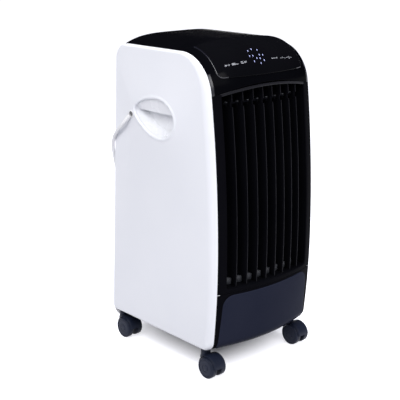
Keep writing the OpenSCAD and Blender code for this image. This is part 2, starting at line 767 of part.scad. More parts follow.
module scroll_half() {
    foot = 3 * wall;
    difference() {
        union() {
            along_x(seam / 2, scroll_hw) polygon(scroll_outline(wall));
            for (y = [fan_y - wheel_r, fan_y + wheel_r / 2])
                box(scroll_hw - foot, scroll_hw, y, y + wheel_r / 2, deck_top, fan_z - wheel_r / 2);
        }
        along_x(0, scroll_hw - wall) polygon(scroll_outline(0));
        rod_x(0, scroll_hw + 1, fan_y, fan_z, inlet_r);
        box(0, scroll_hw - wall, fan_y - 2 * wheel_r, scroll_front + wall, tongue_z, scroll_top);
    }
}

module scroll_left_half() {
    color(grey) mirror([1, 0, 0]) scroll_half();
}

module scroll_right_half() {
    color(grey) scroll_half();
}

bracket_t = 3;
motor_x = scroll_hw + bracket_t;
module motor_bracket() {
    color(steel) difference() {
        union() {
            difference() {
                rod_x(scroll_hw, motor_x, fan_y, fan_z, inlet_r + 8);
                rod_x(scroll_hw - 1, motor_x + 1, fan_y, fan_z, inlet_r - 1);
            }
            rod_x(scroll_hw, motor_x, fan_y, fan_z, motor_r * 0.7);
            for (a = [90, 210, 330])
                translate([scroll_hw, fan_y, fan_z]) rotate([a, 0, 0])
                    box(0, bracket_t, -6, 6, 0, inlet_r);
        }
        rod_x(scroll_hw - 1, motor_x + 1, fan_y, fan_z, 2 * shaft_r);
    }
}

module fan_motor() {
    color(steel) difference() {
        union() {
            rod_x(motor_x, motor_x + motor_l, fan_y, fan_z, motor_r * 0.85);
            rod_x(motor_x + motor_l * 0.2, motor_x + motor_l * 0.8, fan_y, fan_z, motor_r);
        }
        rod_x(motor_x - 1, motor_x + motor_l * 0.75, fan_y, fan_z, shaft_r + run_fit);
        for (k = [0:11])
            translate([motor_x + motor_l * 0.86, fan_y, fan_z]) rotate([k * 30, 0, 0])
                box(0, motor_l, -2, 2, motor_r * 0.4, motor_r * 0.7);
    }
}

wheel_hub_l = 36;
module blower_wheel() {
    hub_r = 3 * shaft_r;
    hub_l = wheel_hub_l;
    ring_t = 3;
    inner_r = wheel_r - wheel_depth;
    // Forward-curved blade: a bowed strip from the inner to the outer radius
    function blade_pt(s, side) = let (r = inner_r + s * (wheel_depth - 0.4), a = 14 * s * s - 4 * s)
        [(r * cos(a)) - side * 0.6 * sin(a + 40), r * sin(a) + side * 0.6 * cos(a + 40)];
    color(black) translate([0, fan_y, fan_z]) {
        difference() {
            union() {
                for (x = [-wheel_w / 2, wheel_w / 2 - ring_t])
                    difference() {
                        rod_x(x, x + ring_t, 0, 0, wheel_r);
                        rod_x(x - 1, x + ring_t + 1, 0, 0, inner_r);
                    }
                rod_x(-ring_t / 2, ring_t / 2, 0, 0, wheel_r);
                rod_x(-hub_l / 2, hub_l / 2, 0, 0, hub_r);
                for (k = [1:wheel_blades])
                    rotate([k * 360 / wheel_blades, 0, 0]) along_x(-wheel_w / 2, wheel_w / 2) polygon(concat(
                        [for (s = steps(0, 1, 4)) blade_pt(s, -1)],
                        [for (s = steps(1, 0, 4)) blade_pt(s, 1)]));
            }
            rod_x(-wheel_w, wheel_w, 0, 0, shaft_r);
        }
    }
}

module motor_shaft() {
    color(steel) rod_x(-wheel_hub_l, motor_x + motor_l * 0.7, fan_y, fan_z, shaft_r);
}

// Wet side, placed in the plane of the leaning back: Y out of it, Z up along it

module rear_place() {
    translate([0, rear_y0, ground_gap]) rotate([back_lean, 0, 0]) children();
}
rear_top_w = (tr_z + top_rear_r * sin(back_lean) - ground_gap) / cos(back_lean);
filter_w0 = wall + (deck_top + seam - ground_gap + flange_d * sin(back_lean)) / cos(back_lean);
filter_w1 = rear_top_w - 22;
hinge_w = filter_w0 + seam + filter_t / 2;
tank_open_w = (tank_h + floor_top + 3 * tank_fit - ground_gap) / cos(back_lean);

module rear_frame() {
    hw = rear_open_hw;
    color(white) rear_place() difference() {
        union() {
            box(-inner_x, inner_x, -frame_t, 0, seam, rear_top_w - seam);
            box(-hw - wall, hw + wall, -flange_d, -frame_t / 2, filter_w0 - wall, filter_w1 + wall);
        }
        box(-hw, hw, -2 * flange_d, frame_t, filter_w0, filter_w1);
        box(-hw, hw, -2 * flange_d, frame_t, -wall, tank_open_w);
        rod_x(-hw - 2 * wall, hw + 2 * wall, -filter_t / 2, hinge_w, hinge_r + run_fit);
    }
}

filter_hw = rear_open_hw - seam;
filter_rim = 11;
slat_hw = filter_hw - filter_rim;
slat_w0 = hinge_w + filter_rim;
slat_w1 = filter_w1 - seam - filter_rim;
module filter_panel() {
    tab = 26;
    color(white) rear_place() {
        difference() {
            union() {
                box(-filter_hw, filter_hw, -filter_t, 0, hinge_w, filter_w1 - seam);
                rod_x(-filter_hw, filter_hw, -filter_t / 2, hinge_w, filter_t / 2);
            }
            box(-slat_hw, slat_hw, -2 * filter_t, filter_t, slat_w0, slat_w1);
            box(-tab, tab, -filter_t / 2, filter_t, slat_w1 + wall, filter_w1 - wall);
        }
        rod_x(-rear_open_hw - wall + seam, rear_open_hw + wall - seam, -filter_t / 2, hinge_w, hinge_r);
        for (w = [slat_w0 + slat_pitch / 2:slat_pitch:slat_w1 - slat_pitch / 4])
            translate([0, -filter_t / 2, w]) rotate([-35, 0, 0])
                box(-slat_hw - 1, slat_hw + 1, -filter_t * 0.42, filter_t * 0.42, -0.8, 0.8);
        for (x = [-slat_hw / 2, 0, slat_hw / 2])
            box(x - 1, x + 1, -filter_t * 0.85, -filter_t * 0.25, slat_w0 - 1, slat_w1 + 1);
    }
}

mesh_t = 0.8;
module dust_filter() {
    color(grey) rear_place()
        box(-slat_hw + seam, slat_hw - seam, -filter_t, mesh_t - filter_t, slat_w0 + seam, slat_w1 - seam);
}

pad_hw = rear_open_hw - wall;
pad_w0 = filter_w0 + seam;
tray_h = 18;
pad_w1 = filter_w1 - tray_h - 2 * wall;
module cooling_pad() {
    flutes = floor(pad_hw / 6);
    flute = 1.5;
    color(copper) rear_place() translate([0, 0, pad_w0]) linear_extrude(pad_w1 - pad_w0) polygon(concat(
        [for (i = [0:flutes]) [pad_hw * (2 * i / flutes - 1), pad_n0 + flute * (i % 2)]],
        [for (i = [flutes:-1:0]) [pad_hw * (2 * i / flutes - 1), pad_n1 - flute * (i % 2)]]));
}

tray_w0 = pad_w1 + seam;
module distributor_tray() {
    hole_pitch = 2 * pad_hw / 10;
    color(white) rear_place() difference() {
        box(-pad_hw, pad_hw, pad_n0, pad_n1, tray_w0, tray_w0 + tray_h);
        box(wall - pad_hw, pad_hw - wall, pad_n0 + wall, pad_n1 - wall, tray_w0 + wall, filter_w1);
        for (i = [-4:4])
            rod_z(i * hole_pitch, (pad_n0 + pad_n1) / 2, tray_w0 - 1, tray_w0 + 2 * wall, 1.5);
    }
}

// Riser in front of the tray, turning over its edge
tray_top_w = tray_w0 + tray_h;
tray_top_z = ground_gap + tray_top_w * cos(back_lean) + pad_n0 * sin(back_lean);
riser_y = rear_y0 + pad_n0 * cos(back_lean) - tray_top_w * sin(back_lean) - riser_r - seam;
tank_z0 = floor_top + seam;
tank_z1 = tank_z0 + tank_h;
riser_x = scroll_hw + riser_gap + riser_r;
riser_z0 = tank_z1 + seam;
riser_z1 = tray_top_z + riser_r + 2 * wall;
module riser_tube() {
    bore = riser_r - 1.5;
    color(grey) translate([-riser_x, riser_y, 0]) difference() {
        union() {
            rod_z(0, 0, riser_z0, riser_z1, riser_r);
            translate([0, 0, riser_z1]) sphere(r = riser_r);
            translate([0, 0, riser_z1]) rotate([-90, 0, 0]) cylinder(r = riser_r, h = 3 * riser_r);
            rod_z(0, 0, riser_z0, deck_bot - seam, riser_r + 2 * wall);
        }
        rod_z(0, 0, riser_z0 - 1, riser_z1, bore);
        translate([0, 0, riser_z1]) rotate([-90, 0, 0]) cylinder(r = bore, h = 4 * riser_r);
    }
}

tank_y0 = bay_y0 + 2 * wall;
pull_z = tank_z0 + tank_h * 0.62;
module water_tank() {
    inside_hw = tank_hw - wall;
    module inside_back(d) {
        rear_place() box(-body_w, body_w, -body_d, -d, -ground_gap, side_top);
    }
    module pocket(d, grow) {
        rear_place() box(-pull_w / 2 - grow, pull_w / 2 + grow, -d, 2 * wall,
            pull_z - ground_gap - pull_h / 2 - grow, pull_z - ground_gap + pull_h / 2 + grow);
    }
    color([0.80, 0.83, 0.86]) difference() {
        union() {
            difference() {
                intersection() {
                    box(-tank_hw, tank_hw, tank_y0, rear_y0, tank_z0, tank_z1);
                    inside_back(0);
                }
                intersection() {
                    box(-inside_hw, inside_hw, tank_y0 + wall, rear_y0, tank_z0 + wall, tank_z1 + 1);
                    inside_back(wall);
                }
            }
            intersection() {
                pocket(pull_d + wall, wall);
                inside_back(wall / 2);
            }
        }
        pocket(pull_d, 0);
    }
}

pump_x = -riser_x + riser_r + pump_r - wall;
pump_z = tank_z0 + wall;
impeller_r = pump_r - 4;
chamber_z = pump_z + 4;
chamber_h = 9;
spindle_r = 1.5;
module pump_body() {
    chamber_top = chamber_z + chamber_h;
    outlet_x = -riser_x - pump_x;
    slot_hw = 2;
    color(black) translate([pump_x, riser_y, 0]) difference() {
        union() {
            rod_z(0, 0, pump_z, pump_z + pump_h, pump_r);
            rod_z(outlet_x, 0, pump_z, riser_z0 - seam, riser_r);
            box(outlet_x, 0, -riser_r, riser_r, pump_z, chamber_top + wall);
        }
        rod_z(0, 0, chamber_z, chamber_top, impeller_r + 1);
        rod_z(0, 0, chamber_z, pump_z + pump_h - 2 * wall, spindle_r + run_fit);
        rod_z(outlet_x, 0, chamber_z + wall, riser_z0 + 1, riser_r - 1.5);
        box(outlet_x, 0, -slot_hw, slot_hw, chamber_z + wall, chamber_top - wall);
        for (a = [-60, -20, 20, 60])
            rotate([0, 0, a]) box(0, 2 * pump_r, -slot_hw, slot_hw, chamber_z + 1, chamber_top - 2);
    }
}

module pump_impeller() {
    vane_h = chamber_h - 1;
    color(white) translate([pump_x, riser_y, chamber_z + seam]) {
        cylinder(r = spindle_r, h = pump_h - 4 - 3 * wall);
        cylinder(r = impeller_r, h = 1.5);
        cylinder(r = 4, h = vane_h);
        for (k = [0:5])
            rotate([0, 0, 60 * k]) box(0, impeller_r - 1, -0.8, 0.8, 0, vane_h);
    }
}

// Casters: hood with stem, and two wheels on one axle

web_hw = 4.5;
wheel_gap = 0.7;
hood_r = caster_r + 4;
hood_hw = web_hw + wheel_gap + caster_w * 0.8;
axle_r = 3;
function caster_pos(i) = [(i % 2 == 0 ? -1 : 1) * caster_x, caster_ys[floor(i / 2)]];
caster_names = ["front_left", "front_right", "rear_left", "rear_right"];

module caster_hood(i) {
    p = caster_pos(i);
    collar_z = caster_r + hood_r - 4;
    color(slate) translate([p[0], p[1], 0]) difference() {
        union() {
            rod_x(-hood_hw, hood_hw, -caster_trail, caster_r, hood_r);
            rod_z(0, 0, collar_z, ground_gap - seam, stem_r + 3.5);
            rod_z(0, 0, collar_z, ground_gap + stem_l, stem_r);
            box(-web_hw, web_hw, -caster_trail, stem_r + 3, caster_r, collar_z + 1);
        }
        both_sides() rod_x(web_hw, hood_hw + 1, -caster_trail, caster_r, caster_r + 1.5);
        rod_x(-hood_hw, hood_hw, -caster_trail, caster_r, axle_r + run_fit);
        translate([0, -caster_trail, caster_r]) rotate([-12, 0, 0])
            box(-2 * hood_hw, 2 * hood_hw, -2 * hood_r, 2 * hood_r, -2 * hood_r, -axle_r - 2);
    }
}

module caster_wheels(i) {
    p = caster_pos(i);
    x0 = web_hw + wheel_gap;
    tread = 1.5;
    color(black) translate([p[0], p[1] - caster_trail, caster_r]) {
        rod_x(-x0 - 1, x0 + 1, 0, 0, axle_r);
        both_sides() translate([x0, 0, 0]) rotate([90, 0, 90]) rotate_extrude() polygon([
            [0, 0], [caster_r - tread, 0], [caster_r, tread], [caster_r, caster_w - tread],
            [caster_r - tread, caster_w], [caster_r - 3 * tread, caster_w],
            [caster_r - 4 * tread, caster_w - tread], [axle_r + 3, caster_w - tread],
            [axle_r + 2, caster_w], [0, caster_w]]);
    }
}

// Mains cord: gland, the loose stretch, the coil behind the cabinet and the plug

cord_r = cord_d / 2;
coil_side = 146;
coil_back = 27.5;
coil_x = coil_side - half_w;
coil_y = rear_y0 + coil_back;
coil_mid_r = 5.5 * cord_d;
coil_turn_r = coil_mid_r + cord_d;
lay_y = coil_y + coil_turn_r;
// Points the loose cord passes: distance in from the left side, distance behind the back, height
cord_points = [
    [-2, -49.5, 452.5], [-7.5, -44, 442.5], [-9, -32.7, 430.5], [-5.5, -10.7, 413], [-0.5, 4.9, 389],
    [9, 7.3, 352], [16.5, 5.4, 311], [19, 4.9, 245], [19, 4.8, 179], [19.5, 6.3, 118], [22.5, 16, 62],
    [30.5, 30.5, 35], [44, 34, 17.5], [55.5, 30.4, 8]];
// Arc that leads from along the back into the coil's outer turn
lead_r = 40;
lead_a = 60;
lead_step = 24;
lead_x = coil_x - (coil_turn_r + lead_r) * sin(lead_a);
lead_y = coil_y + (coil_turn_r + lead_r) * cos(lead_a);
cord_knots = concat(
    [for (p = cord_points) [p[0] - half_w, rear_y(p[2]) + p[1], p[2]]],
    [for (k = [0:3]) let (a = lead_a - lead_step * (3 - k))
        [lead_x + lead_r * sin(a), lead_y - lead_r * cos(a), cord_r + pow(0.15, k)]]);
// Smooth curve through the knots, in equal parts of each span
cord_parts = 3;
function knot(k) = cord_knots[max(0, min(len(cord_knots) - 1, k))];
function blend(k, t) = knot(k) + t / 2 * (knot(k + 1) - knot(k - 1))
    + t * t / 2 * (2 * knot(k - 1) - 5 * knot(k) + 4 * knot(k + 1) - knot(k + 2))
    + t * t * t / 2 * (knot(k + 2) - 3 * knot(k + 1) + 3 * knot(k) - knot(k - 1));
cord_route = concat(
    [for (k = [0:len(cord_knots) - 2], i = [0:cord_parts - 1]) blend(k, i / cord_parts)],
    [knot(len(cord_knots))]);
function unit(v) = v / norm(v);
function route_dir(k) = unit(cord_route[min(k + 1, len(cord_route) - 1)] - cord_route[max(k - 1, 0)]);
cord_sides = 10;
// Ring round a point of the route, square to both the route and one fixed slanted direction
function cord_ring(k, r) = let (t = route_dir(k), u = unit(cross([0.3, 0.2, 1], t)), v = cross(t, u))
    [for (i = [0:cord_sides - 1])
        cord_route[k] + r * (cos(360 * i / cord_sides) * u + sin(360 * i / cord_sides) * v)];

module power_cord() {
    color(white) loft([for (k = [0:len(cord_route) - 1]) cord_ring(k, cord_r)]);
}

// Bush in the side panel with a slim tapered sleeve along the first of the cord
module cord_gland() {
    flange = 2;
    sleeve = 4;
    color(white) {
        rod_x(-half_w - flange, -half_w, gland_y, gland_z, gland_r + 1.5);
        rod_x(-half_w - flange, -half_w + 3 * wall, gland_y, gland_z, gland_r - run_fit);
        loft([for (k = [0:sleeve]) cord_ring(k, cord_r + 1.3 - 0.9 * k / sleeve)]);
    }
}

module cord_coil() {
    color(white) translate([coil_x, coil_y, 0]) rotate_extrude()
        translate([coil_mid_r - 1.5 * cord_d, 0]) square([3 * cord_d, 2 * cord_d]);
}

plug_z = 1.5 * cord_d;
module mains_plug() {
    boot_x = coil_x + 18;
    boot_l = 28;
    body_l = 36;
    body_hw = 16;
    pin_x = boot_x + boot_l + body_l;
    color(white) {
        translate([boot_x, lay_y, plug_z]) rotate([0, 90, 0])
            cylinder(r1 = cord_r + 0.8, r2 = cord_r + 3, h = boot_l + 1);
        translate([boot_x + boot_l, lay_y, plug_z]) rotate([90, 0, 90]) linear_extrude(body_l)
            rounded(-body_hw, body_hw, seam - plug_z, plug_z - seam, 6, 6);
    }
    color(steel) for (s = [-1, 1])
        rod_x(pin_x - 1, pin_x + pin_l, lay_y + s * pin_pitch / 2, plug_z, pin_r);
}

base_chassis();
mid_deck();
left_side_panel();
right_side_panel();
left_handle_cup();
right_handle_cup();
rear_frame();
top_cover();
control_panel();
display_leds();
control_board();
front_bezel();
louvre_box();
lower_front_frame();
lower_front_panel();
scroll_left_half();
scroll_right_half();
motor_bracket();
fan_motor();
motor_shaft();
blower_wheel();
swing_motor();
cooling_pad();
distributor_tray();
riser_tube();
filter_panel();
dust_filter();
water_tank();
pump_body();
pump_impeller();
vane_link();
blade_link();
cord_gland();
power_cord();
cord_coil();
mains_plug();
for (i = [1:vane_count])
    vane(i);
for (i = [1:blade_count])
    blade(i);
for (i = [0:3])
    caster_hood(i);
for (i = [0:3])
    caster_wheels(i);
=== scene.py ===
import json
import bmesh
import bpy
from math import asin, atan, cos, degrees, floor, hypot, pi, radians, sin, sqrt, tan
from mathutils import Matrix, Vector

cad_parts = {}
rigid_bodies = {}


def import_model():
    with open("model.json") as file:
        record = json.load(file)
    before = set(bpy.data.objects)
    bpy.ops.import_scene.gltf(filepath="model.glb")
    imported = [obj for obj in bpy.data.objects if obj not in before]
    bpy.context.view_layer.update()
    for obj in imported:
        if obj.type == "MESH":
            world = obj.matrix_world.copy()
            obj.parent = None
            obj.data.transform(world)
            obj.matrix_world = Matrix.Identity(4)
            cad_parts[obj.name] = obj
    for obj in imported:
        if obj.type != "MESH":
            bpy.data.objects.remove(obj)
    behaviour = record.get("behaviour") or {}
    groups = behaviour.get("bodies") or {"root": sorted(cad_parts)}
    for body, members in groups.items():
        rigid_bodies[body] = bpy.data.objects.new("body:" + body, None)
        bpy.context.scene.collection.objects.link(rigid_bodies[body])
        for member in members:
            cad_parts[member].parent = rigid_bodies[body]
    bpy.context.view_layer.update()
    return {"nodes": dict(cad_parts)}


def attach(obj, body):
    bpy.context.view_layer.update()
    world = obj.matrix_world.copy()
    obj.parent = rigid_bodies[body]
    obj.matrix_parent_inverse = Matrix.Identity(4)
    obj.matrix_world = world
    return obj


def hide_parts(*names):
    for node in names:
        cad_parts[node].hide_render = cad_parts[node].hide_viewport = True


for stray in list(bpy.data.objects):
    bpy.data.objects.remove(stray, do_unlink=True)
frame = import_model()
scene = bpy.context.scene
nodes = frame["nodes"]
print("frame loaded:", len(nodes), "nodes")

camera = {
    "place": (-1.16745, -1.26552, 0.78160),
    "tilt": 73.91,
    "turn": -41.847,
    "lens": 85.23,
    "sensor": 36.0,
}
eye = bpy.data.objects.new("camera", bpy.data.cameras.new("camera"))
eye.data.lens = camera["lens"]
eye.data.sensor_width = camera["sensor"]
eye.location = camera["place"]
eye.rotation_euler = (radians(camera["tilt"]), 0, radians(camera["turn"]))
scene.collection.objects.link(eye)
scene.camera = eye
print("camera set")


# node helpers, for materials and for node trees
def addNode(tree, kind, inputs, **ways):
    # a node with its inputs set or linked; gives its first live output
    made = tree.nodes.new(kind)
    for way, value in ways.items():
        setattr(made, way, value)
    for key, value in inputs.items():
        if isinstance(value, bpy.types.NodeSocket):
            tree.links.new(value, made.inputs[key])
        else:
            made.inputs[key].default_value = value
    return next(out for out in made.outputs if out.enabled)


def noiseNode(tree, place, scale, detail=3.0):
    return addNode(tree, "ShaderNodeTexNoise", {"Vector": place, "Scale": scale, "Detail": detail})


def rangeNode(tree, value, low, high, start=0.35, end=0.65):
    limits = {"From Min": start, "From Max": end, "To Min": low, "To Max": high}
    return addNode(tree, "ShaderNodeMapRange", {"Value": value, **limits})


def bumpNode(tree, height, strength, depth):
    return addNode(tree, "ShaderNodeBump", {"Height": height, "Strength": strength, "Distance": depth})


def newMaterial(name, blotchScale, tone, second):
    # starts every material: two tones in soft blotches
    material = bpy.data.materials.new(name)
    material.use_nodes = True
    tree = material.node_tree
    shader = tree.nodes["Principled BSDF"]
    place = tree.nodes.new("ShaderNodeTexCoord").outputs["Object"]
    share = rangeNode(tree, noiseNode(tree, place, blotchScale), 0, 1)
    tones = {"A": (*tone, 1), "B": (*second, 1)}
    tone = addNode(tree, "ShaderNodeMix", {"Factor": share, **tones}, data_type="RGBA")
    tree.links.new(tone, shader.inputs["Base Color"])
    return material, tree, shader, place


# finishes; each look says where it differs from plain moulded plastic
plainLook = {
    "blotchScale": 9, "smearScale": 34, "smearDetail": 4, "specular": 0.5, "metal": 0,
    "grainScale": 1400, "grainDetail": 2, "grain": 0.04, "grainDepth": 0.0002,
    "waveScale": 45, "waveDetail": 1, "wave": 0.02, "waveDepth": 0.001,
}


def look(tone, second, rough, **more):
    return {**plainLook, "tone": tone, "second": second, "rough": rough, **more}


def moulded(name, values):
    tones = values["tone"], values["second"]
    material, tree, shader, place = newMaterial(name, values["blotchScale"], *tones)
    smear = noiseNode(tree, place, values["smearScale"], values["smearDetail"])
    tree.links.new(rangeNode(tree, smear, *values["rough"]), shader.inputs["Roughness"])
    normal = shader.inputs["Normal"]
    for kind in ("wave", "grain"):  # from the shader back
        cloud = noiseNode(tree, place, values[kind + "Scale"], values[kind + "Detail"])
        bump = bumpNode(tree, cloud, values[kind], values[kind + "Depth"])
        tree.links.new(bump, normal)
        normal = bump.node.inputs["Normal"]
    shader.inputs["Specular IOR Level"].default_value = values["specular"]
    shader.inputs["Metallic"].default_value = values["metal"]
    return material


finishLooks = {
    "panelWhite": look((0.8, 0.81, 0.86), (0.785, 0.797, 0.85), (0.28, 0.36)),
    "cordWhite": look((0.82, 0.82, 0.84), (0.79, 0.79, 0.82), (0.42, 0.5), grain=0.1),
    "glossBlack": look(
        (0.0018, 0.0019, 0.0028), (0.0023, 0.0024, 0.0035), (0.12, 0.17), specular=0.006, grain=0.01,
    ),
    "panelFilm": look(
        (0.0026, 0.0027, 0.0037), (0.0032, 0.0033, 0.0045), (0.09, 0.13), specular=0.03, grain=0.0,
    ),
    "bezelBlack": look(
        (0.003, 0.003, 0.0044), (0.0038, 0.0038, 0.0054), (0.3, 0.38), specular=0.004, grain=0.05,
    ),
    # painted highlight: a light grey, fully shiny finish that puts a glint on the ends of the lower frame's
    # top seam
    "seamGlintPaint": look((0.8, 0.81, 0.86), (0.76, 0.77, 0.82), (0.16, 0.22), specular=1.0),
    # painted light: a lighter copy of the panel white for the handle pockets, lifting the shade inside them
    "cupLightenedWhite": look((0.83, 0.84, 0.875), (0.815, 0.825, 0.865), (0.22, 0.3)),
    # painted reflection: a lighter black for the bezel's band just under the hood's arch
    "bezelLip": look((0.01, 0.01, 0.013), (0.012, 0.012, 0.016), (0.3, 0.38), specular=0.08),
    "louvreBlack": look(
        (0.003, 0.0031, 0.0046), (0.0038, 0.0039, 0.0056), (0.34, 0.42), specular=0.015, grain=0.08,
    ),
    # painted sheen: a lighter, shinier black that stands in for a reflection streak on the hood
    "hoodPaintedSheen": look((0.022, 0.022, 0.028), (0.03, 0.03, 0.037), (0.2, 0.28), specular=0.4),
    "wheelFace": look(
        (0.0135, 0.0172, 0.034), (0.017, 0.0215, 0.04), (0.38, 0.5), specular=0.12, grain=0.1,
    ),
    "padPaper": look(
        (0.34, 0.22, 0.12), (0.27, 0.165, 0.085), (0.75, 0.9), specular=0.2, grain=0.5, grainScale=500,
        blotchScale=60,
    ),
    "filterMesh": look(
        (0.055, 0.057, 0.062), (0.075, 0.077, 0.083), (0.5, 0.62), specular=0.3, blotchScale=40,
    ),
    # painted highlight: a lighter, glossier black for the vanes' rounded front edges
    "vaneEdgeHighlight": look((0.0085, 0.0085, 0.0115), (0.0105, 0.0105, 0.014), (0.28, 0.36), specular=0.07),
    "bushGrey": look((0.031, 0.033, 0.041), (0.026, 0.028, 0.035), (0.45, 0.55), grain=0.1),
    "slateFront": look(
        (0.0165, 0.0193, 0.0355), (0.0195, 0.0222, 0.039), (0.2, 0.26), specular=0.006, grain=0.02,
    ),
    # painted highlight: a lighter, glossier copy of the panel film for the touch panel's rounded edges
    "panelEdgeHighlight": look((0.01, 0.011, 0.018), (0.013, 0.014, 0.022), (0.16, 0.22), specular=0.7),
    "chassisBlack": look(
        (0.012, 0.012, 0.015), (0.016, 0.016, 0.02), (0.45, 0.58), specular=0.25, grain=0.12,
    ),
    "casterDark": look(
        (0.0085, 0.0118, 0.0245), (0.0115, 0.0148, 0.03), (0.36, 0.48), specular=0.15, grain=0.1,
    ),
    "scrollGrey": look((0.3, 0.31, 0.33), (0.27, 0.28, 0.3), (0.45, 0.58), grain=0.15),
    "brightSteel": look(
        (0.62, 0.63, 0.65), (0.56, 0.57, 0.6), (0.22, 0.34), metal=1.0, grainScale=700, grain=0.05,
    ),
    "tankPlastic": look((0.7, 0.72, 0.75), (0.66, 0.685, 0.72), (0.36, 0.48), grain=0.1),
    "boardGreen": look((0.012, 0.085, 0.028), (0.018, 0.1, 0.035), (0.3, 0.42)),
    "legendWhite": look((0.5, 0.51, 0.56), (0.46, 0.47, 0.52), (0.5, 0.6), grain=0.02),
    # painted shade: a dark grey for the thin disc round the cord where it leaves the panel
    "glandHoleShade": look((0.13, 0.13, 0.14), (0.16, 0.16, 0.17), (0.5, 0.6)),
}
finishes = {name: moulded(name, values) for name, values in finishLooks.items()}
print("finishes made:", len(finishes))


# mesh helpers, all in millimetres until the mesh is made
mm = 0.001
sideways, upward = (1, 0, 0), (0, 0, 1)


def newShape():
    return {"points": [], "faces": [], "finish": []}


def addFaces(shape, points, faces, finish=0):
    base = len(shape["points"])
    shape["points"] += [tuple(p) for p in points]
    shape["faces"] += [tuple(base + i for i in face) for face in faces]
    shape["finish"] += [finish] * len(faces)


def addLoft(shape, rings, ends="cap", finish=0):
    count = len(rings[0])
    total = len(rings)
    faces = []
    for k in range(total if ends == "loop" else total - 1):
        here, there = k * count, ((k + 1) % total) * count
        for i in range(count):
            j = (i + 1) % count
            faces.append((here + i, here + j, there + j, there + i))
    if ends == "cap":
        faces.append(tuple(range(count)))
        faces.append(tuple(range((total - 1) * count, total * count)))
    addFaces(shape, [p for ring in rings for p in ring], faces, finish)


def steps(a, b, n):
    return [a + (b - a) * i / n for i in range(n + 1)]


def turnsOf(n):
    return [2 * pi * k / n for k in range(n)]


def arc(u, v, ru, rv, a0, a1, n):
    return [(u + ru * cos(a), v + rv * sin(a)) for a in steps(a0, a1, n)]


def addLathe(shape, profile, centre, axis, segments, finish=0, pole=0.01):
    # profile of (radius, height) along the axis, from pole to pole
    axis = Vector(axis).normalized()
    side = axis.orthogonal().normalized()
    other = axis.cross(side)
    rings = []
    for radius, height in profile:
        middle, r = Vector(centre) + axis * height, max(radius, pole)
        rings.append([middle + (side * cos(a) + other * sin(a)) * r for a in turnsOf(segments)])
    addLoft(shape, rings, finish=finish)


def roundedLoop(half, tall, r, n):
    # rectangle with round corners, as (across, up)
    loop = []
    for u, v, turn in ((1, 1, 0), (-1, 1, 90), (-1, -1, 180), (1, -1, 270)):
        loop += arc(u * (half - r), v * (tall - r), r, r, radians(turn), radians(turn + 90), n)
    return loop


def paintFaces(shape, finish, chosen):
    # another finish on the faces whose middle is chosen
    for k, face in enumerate(shape["faces"]):
        if chosen(*(sum(shape["points"][i][c] for i in face) / len(face) for c in range(3))):
            shape["finish"][k] = finish


def metres(point):
    return tuple(c * mm for c in point)


def makeMesh(name, shape, materials, sharp=38, fills=()):
    weld, flat = 5e-7, 1e-6  # in metres
    mesh = bpy.data.meshes.new(name)
    mesh.from_pydata([metres(p) for p in shape["points"]], [], shape["faces"])
    mesh.polygons.foreach_set("material_index", shape["finish"])
    work = bmesh.new()
    work.from_mesh(mesh)
    bmesh.ops.remove_doubles(work, verts=work.verts, dist=weld)
    for axis, level in fills:
        edges = [
            e for e in work.edges
            if e.is_boundary and all(abs(v.co[axis] - level * mm) < flat for v in e.verts)
        ]
        bmesh.ops.triangle_fill(work, use_beauty=True, edges=edges)
    bmesh.ops.recalc_face_normals(work, faces=work.faces)
    for face in work.faces:
        face.smooth = True
    work.to_mesh(mesh)
    work.free()
    mesh.set_sharp_from_angle(angle=radians(sharp))
    for material in materials:
        mesh.materials.append(finishes[material])
    return mesh


def setPiece(piece, body, replaced):
    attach(piece, body)
    if replaced:
        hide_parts(*replaced)
    return piece


def addPiece(name, shape, materials, body, slot, replaced=(), **ways):
    piece = bpy.data.objects.new(name, makeMesh(name, shape, materials, **ways))
    scene.collection.objects.link(piece)
    return setPiece(piece, body, replaced)


def addPlate(name, shape, materials, slot, node):
    addPiece(name, shape, materials, "cabinet", slot, (node,), sharp=50)


# the cabinet's skin, as in the part's source
cabinet = {
    "halfWidth": 126.0, "seamX": 118.5, "innerX": 118.2, "sideTop": 580.0, "underside": 52.0, "wall": 2.5,
    "crown": 15.0, "bow": 18.0, "lean": 3.3, "bellyZ": 235.0, "frontY": -140.5, "rearY": 158.5,
    "upperRadius": 2190.0, "lowerRadius": 1400.0, "topFront": 75.0, "topRear": 30.0, "bottomFront": 22.0,
    "bottomRear": 10.0, "rimWidth": 7.5, "rimDepth": 20.0, "edge": 5.0, "archSide": 511.0, "archRise": 11.5,
    "splitZ": 164.0, "openZ": 172.0, "outletHalf": 100.5, "bezelLip": 5.0, "gap": 0.3, "roundParts": 5,
}
halfWidth = cabinet["halfWidth"]
seamX = cabinet["seamX"]
innerX = cabinet["innerX"]
splitZ = cabinet["splitZ"]
wall = cabinet["wall"]
gap = cabinet["gap"]
lean = radians(cabinet["lean"])


def frontRadius(z):
    return cabinet["upperRadius" if z > cabinet["bellyZ"] else "lowerRadius"]


def frontY(z):
    rise = z - cabinet["bellyZ"]
    return cabinet["frontY"] + rise * rise / (2 * frontRadius(z))


def frontTilt(z):
    return atan((z - cabinet["bellyZ"]) / frontRadius(z))


def rearY(z):
    return cabinet["rearY"] - (z - cabinet["underside"]) * tan(lean)


def bow(x):
    return cabinet["bow"] * (1 - (x / seamX) ** 2)


def archZ(x):
    return cabinet["archSide"] + cabinet["archRise"] * (1 - (x / seamX) ** 2)


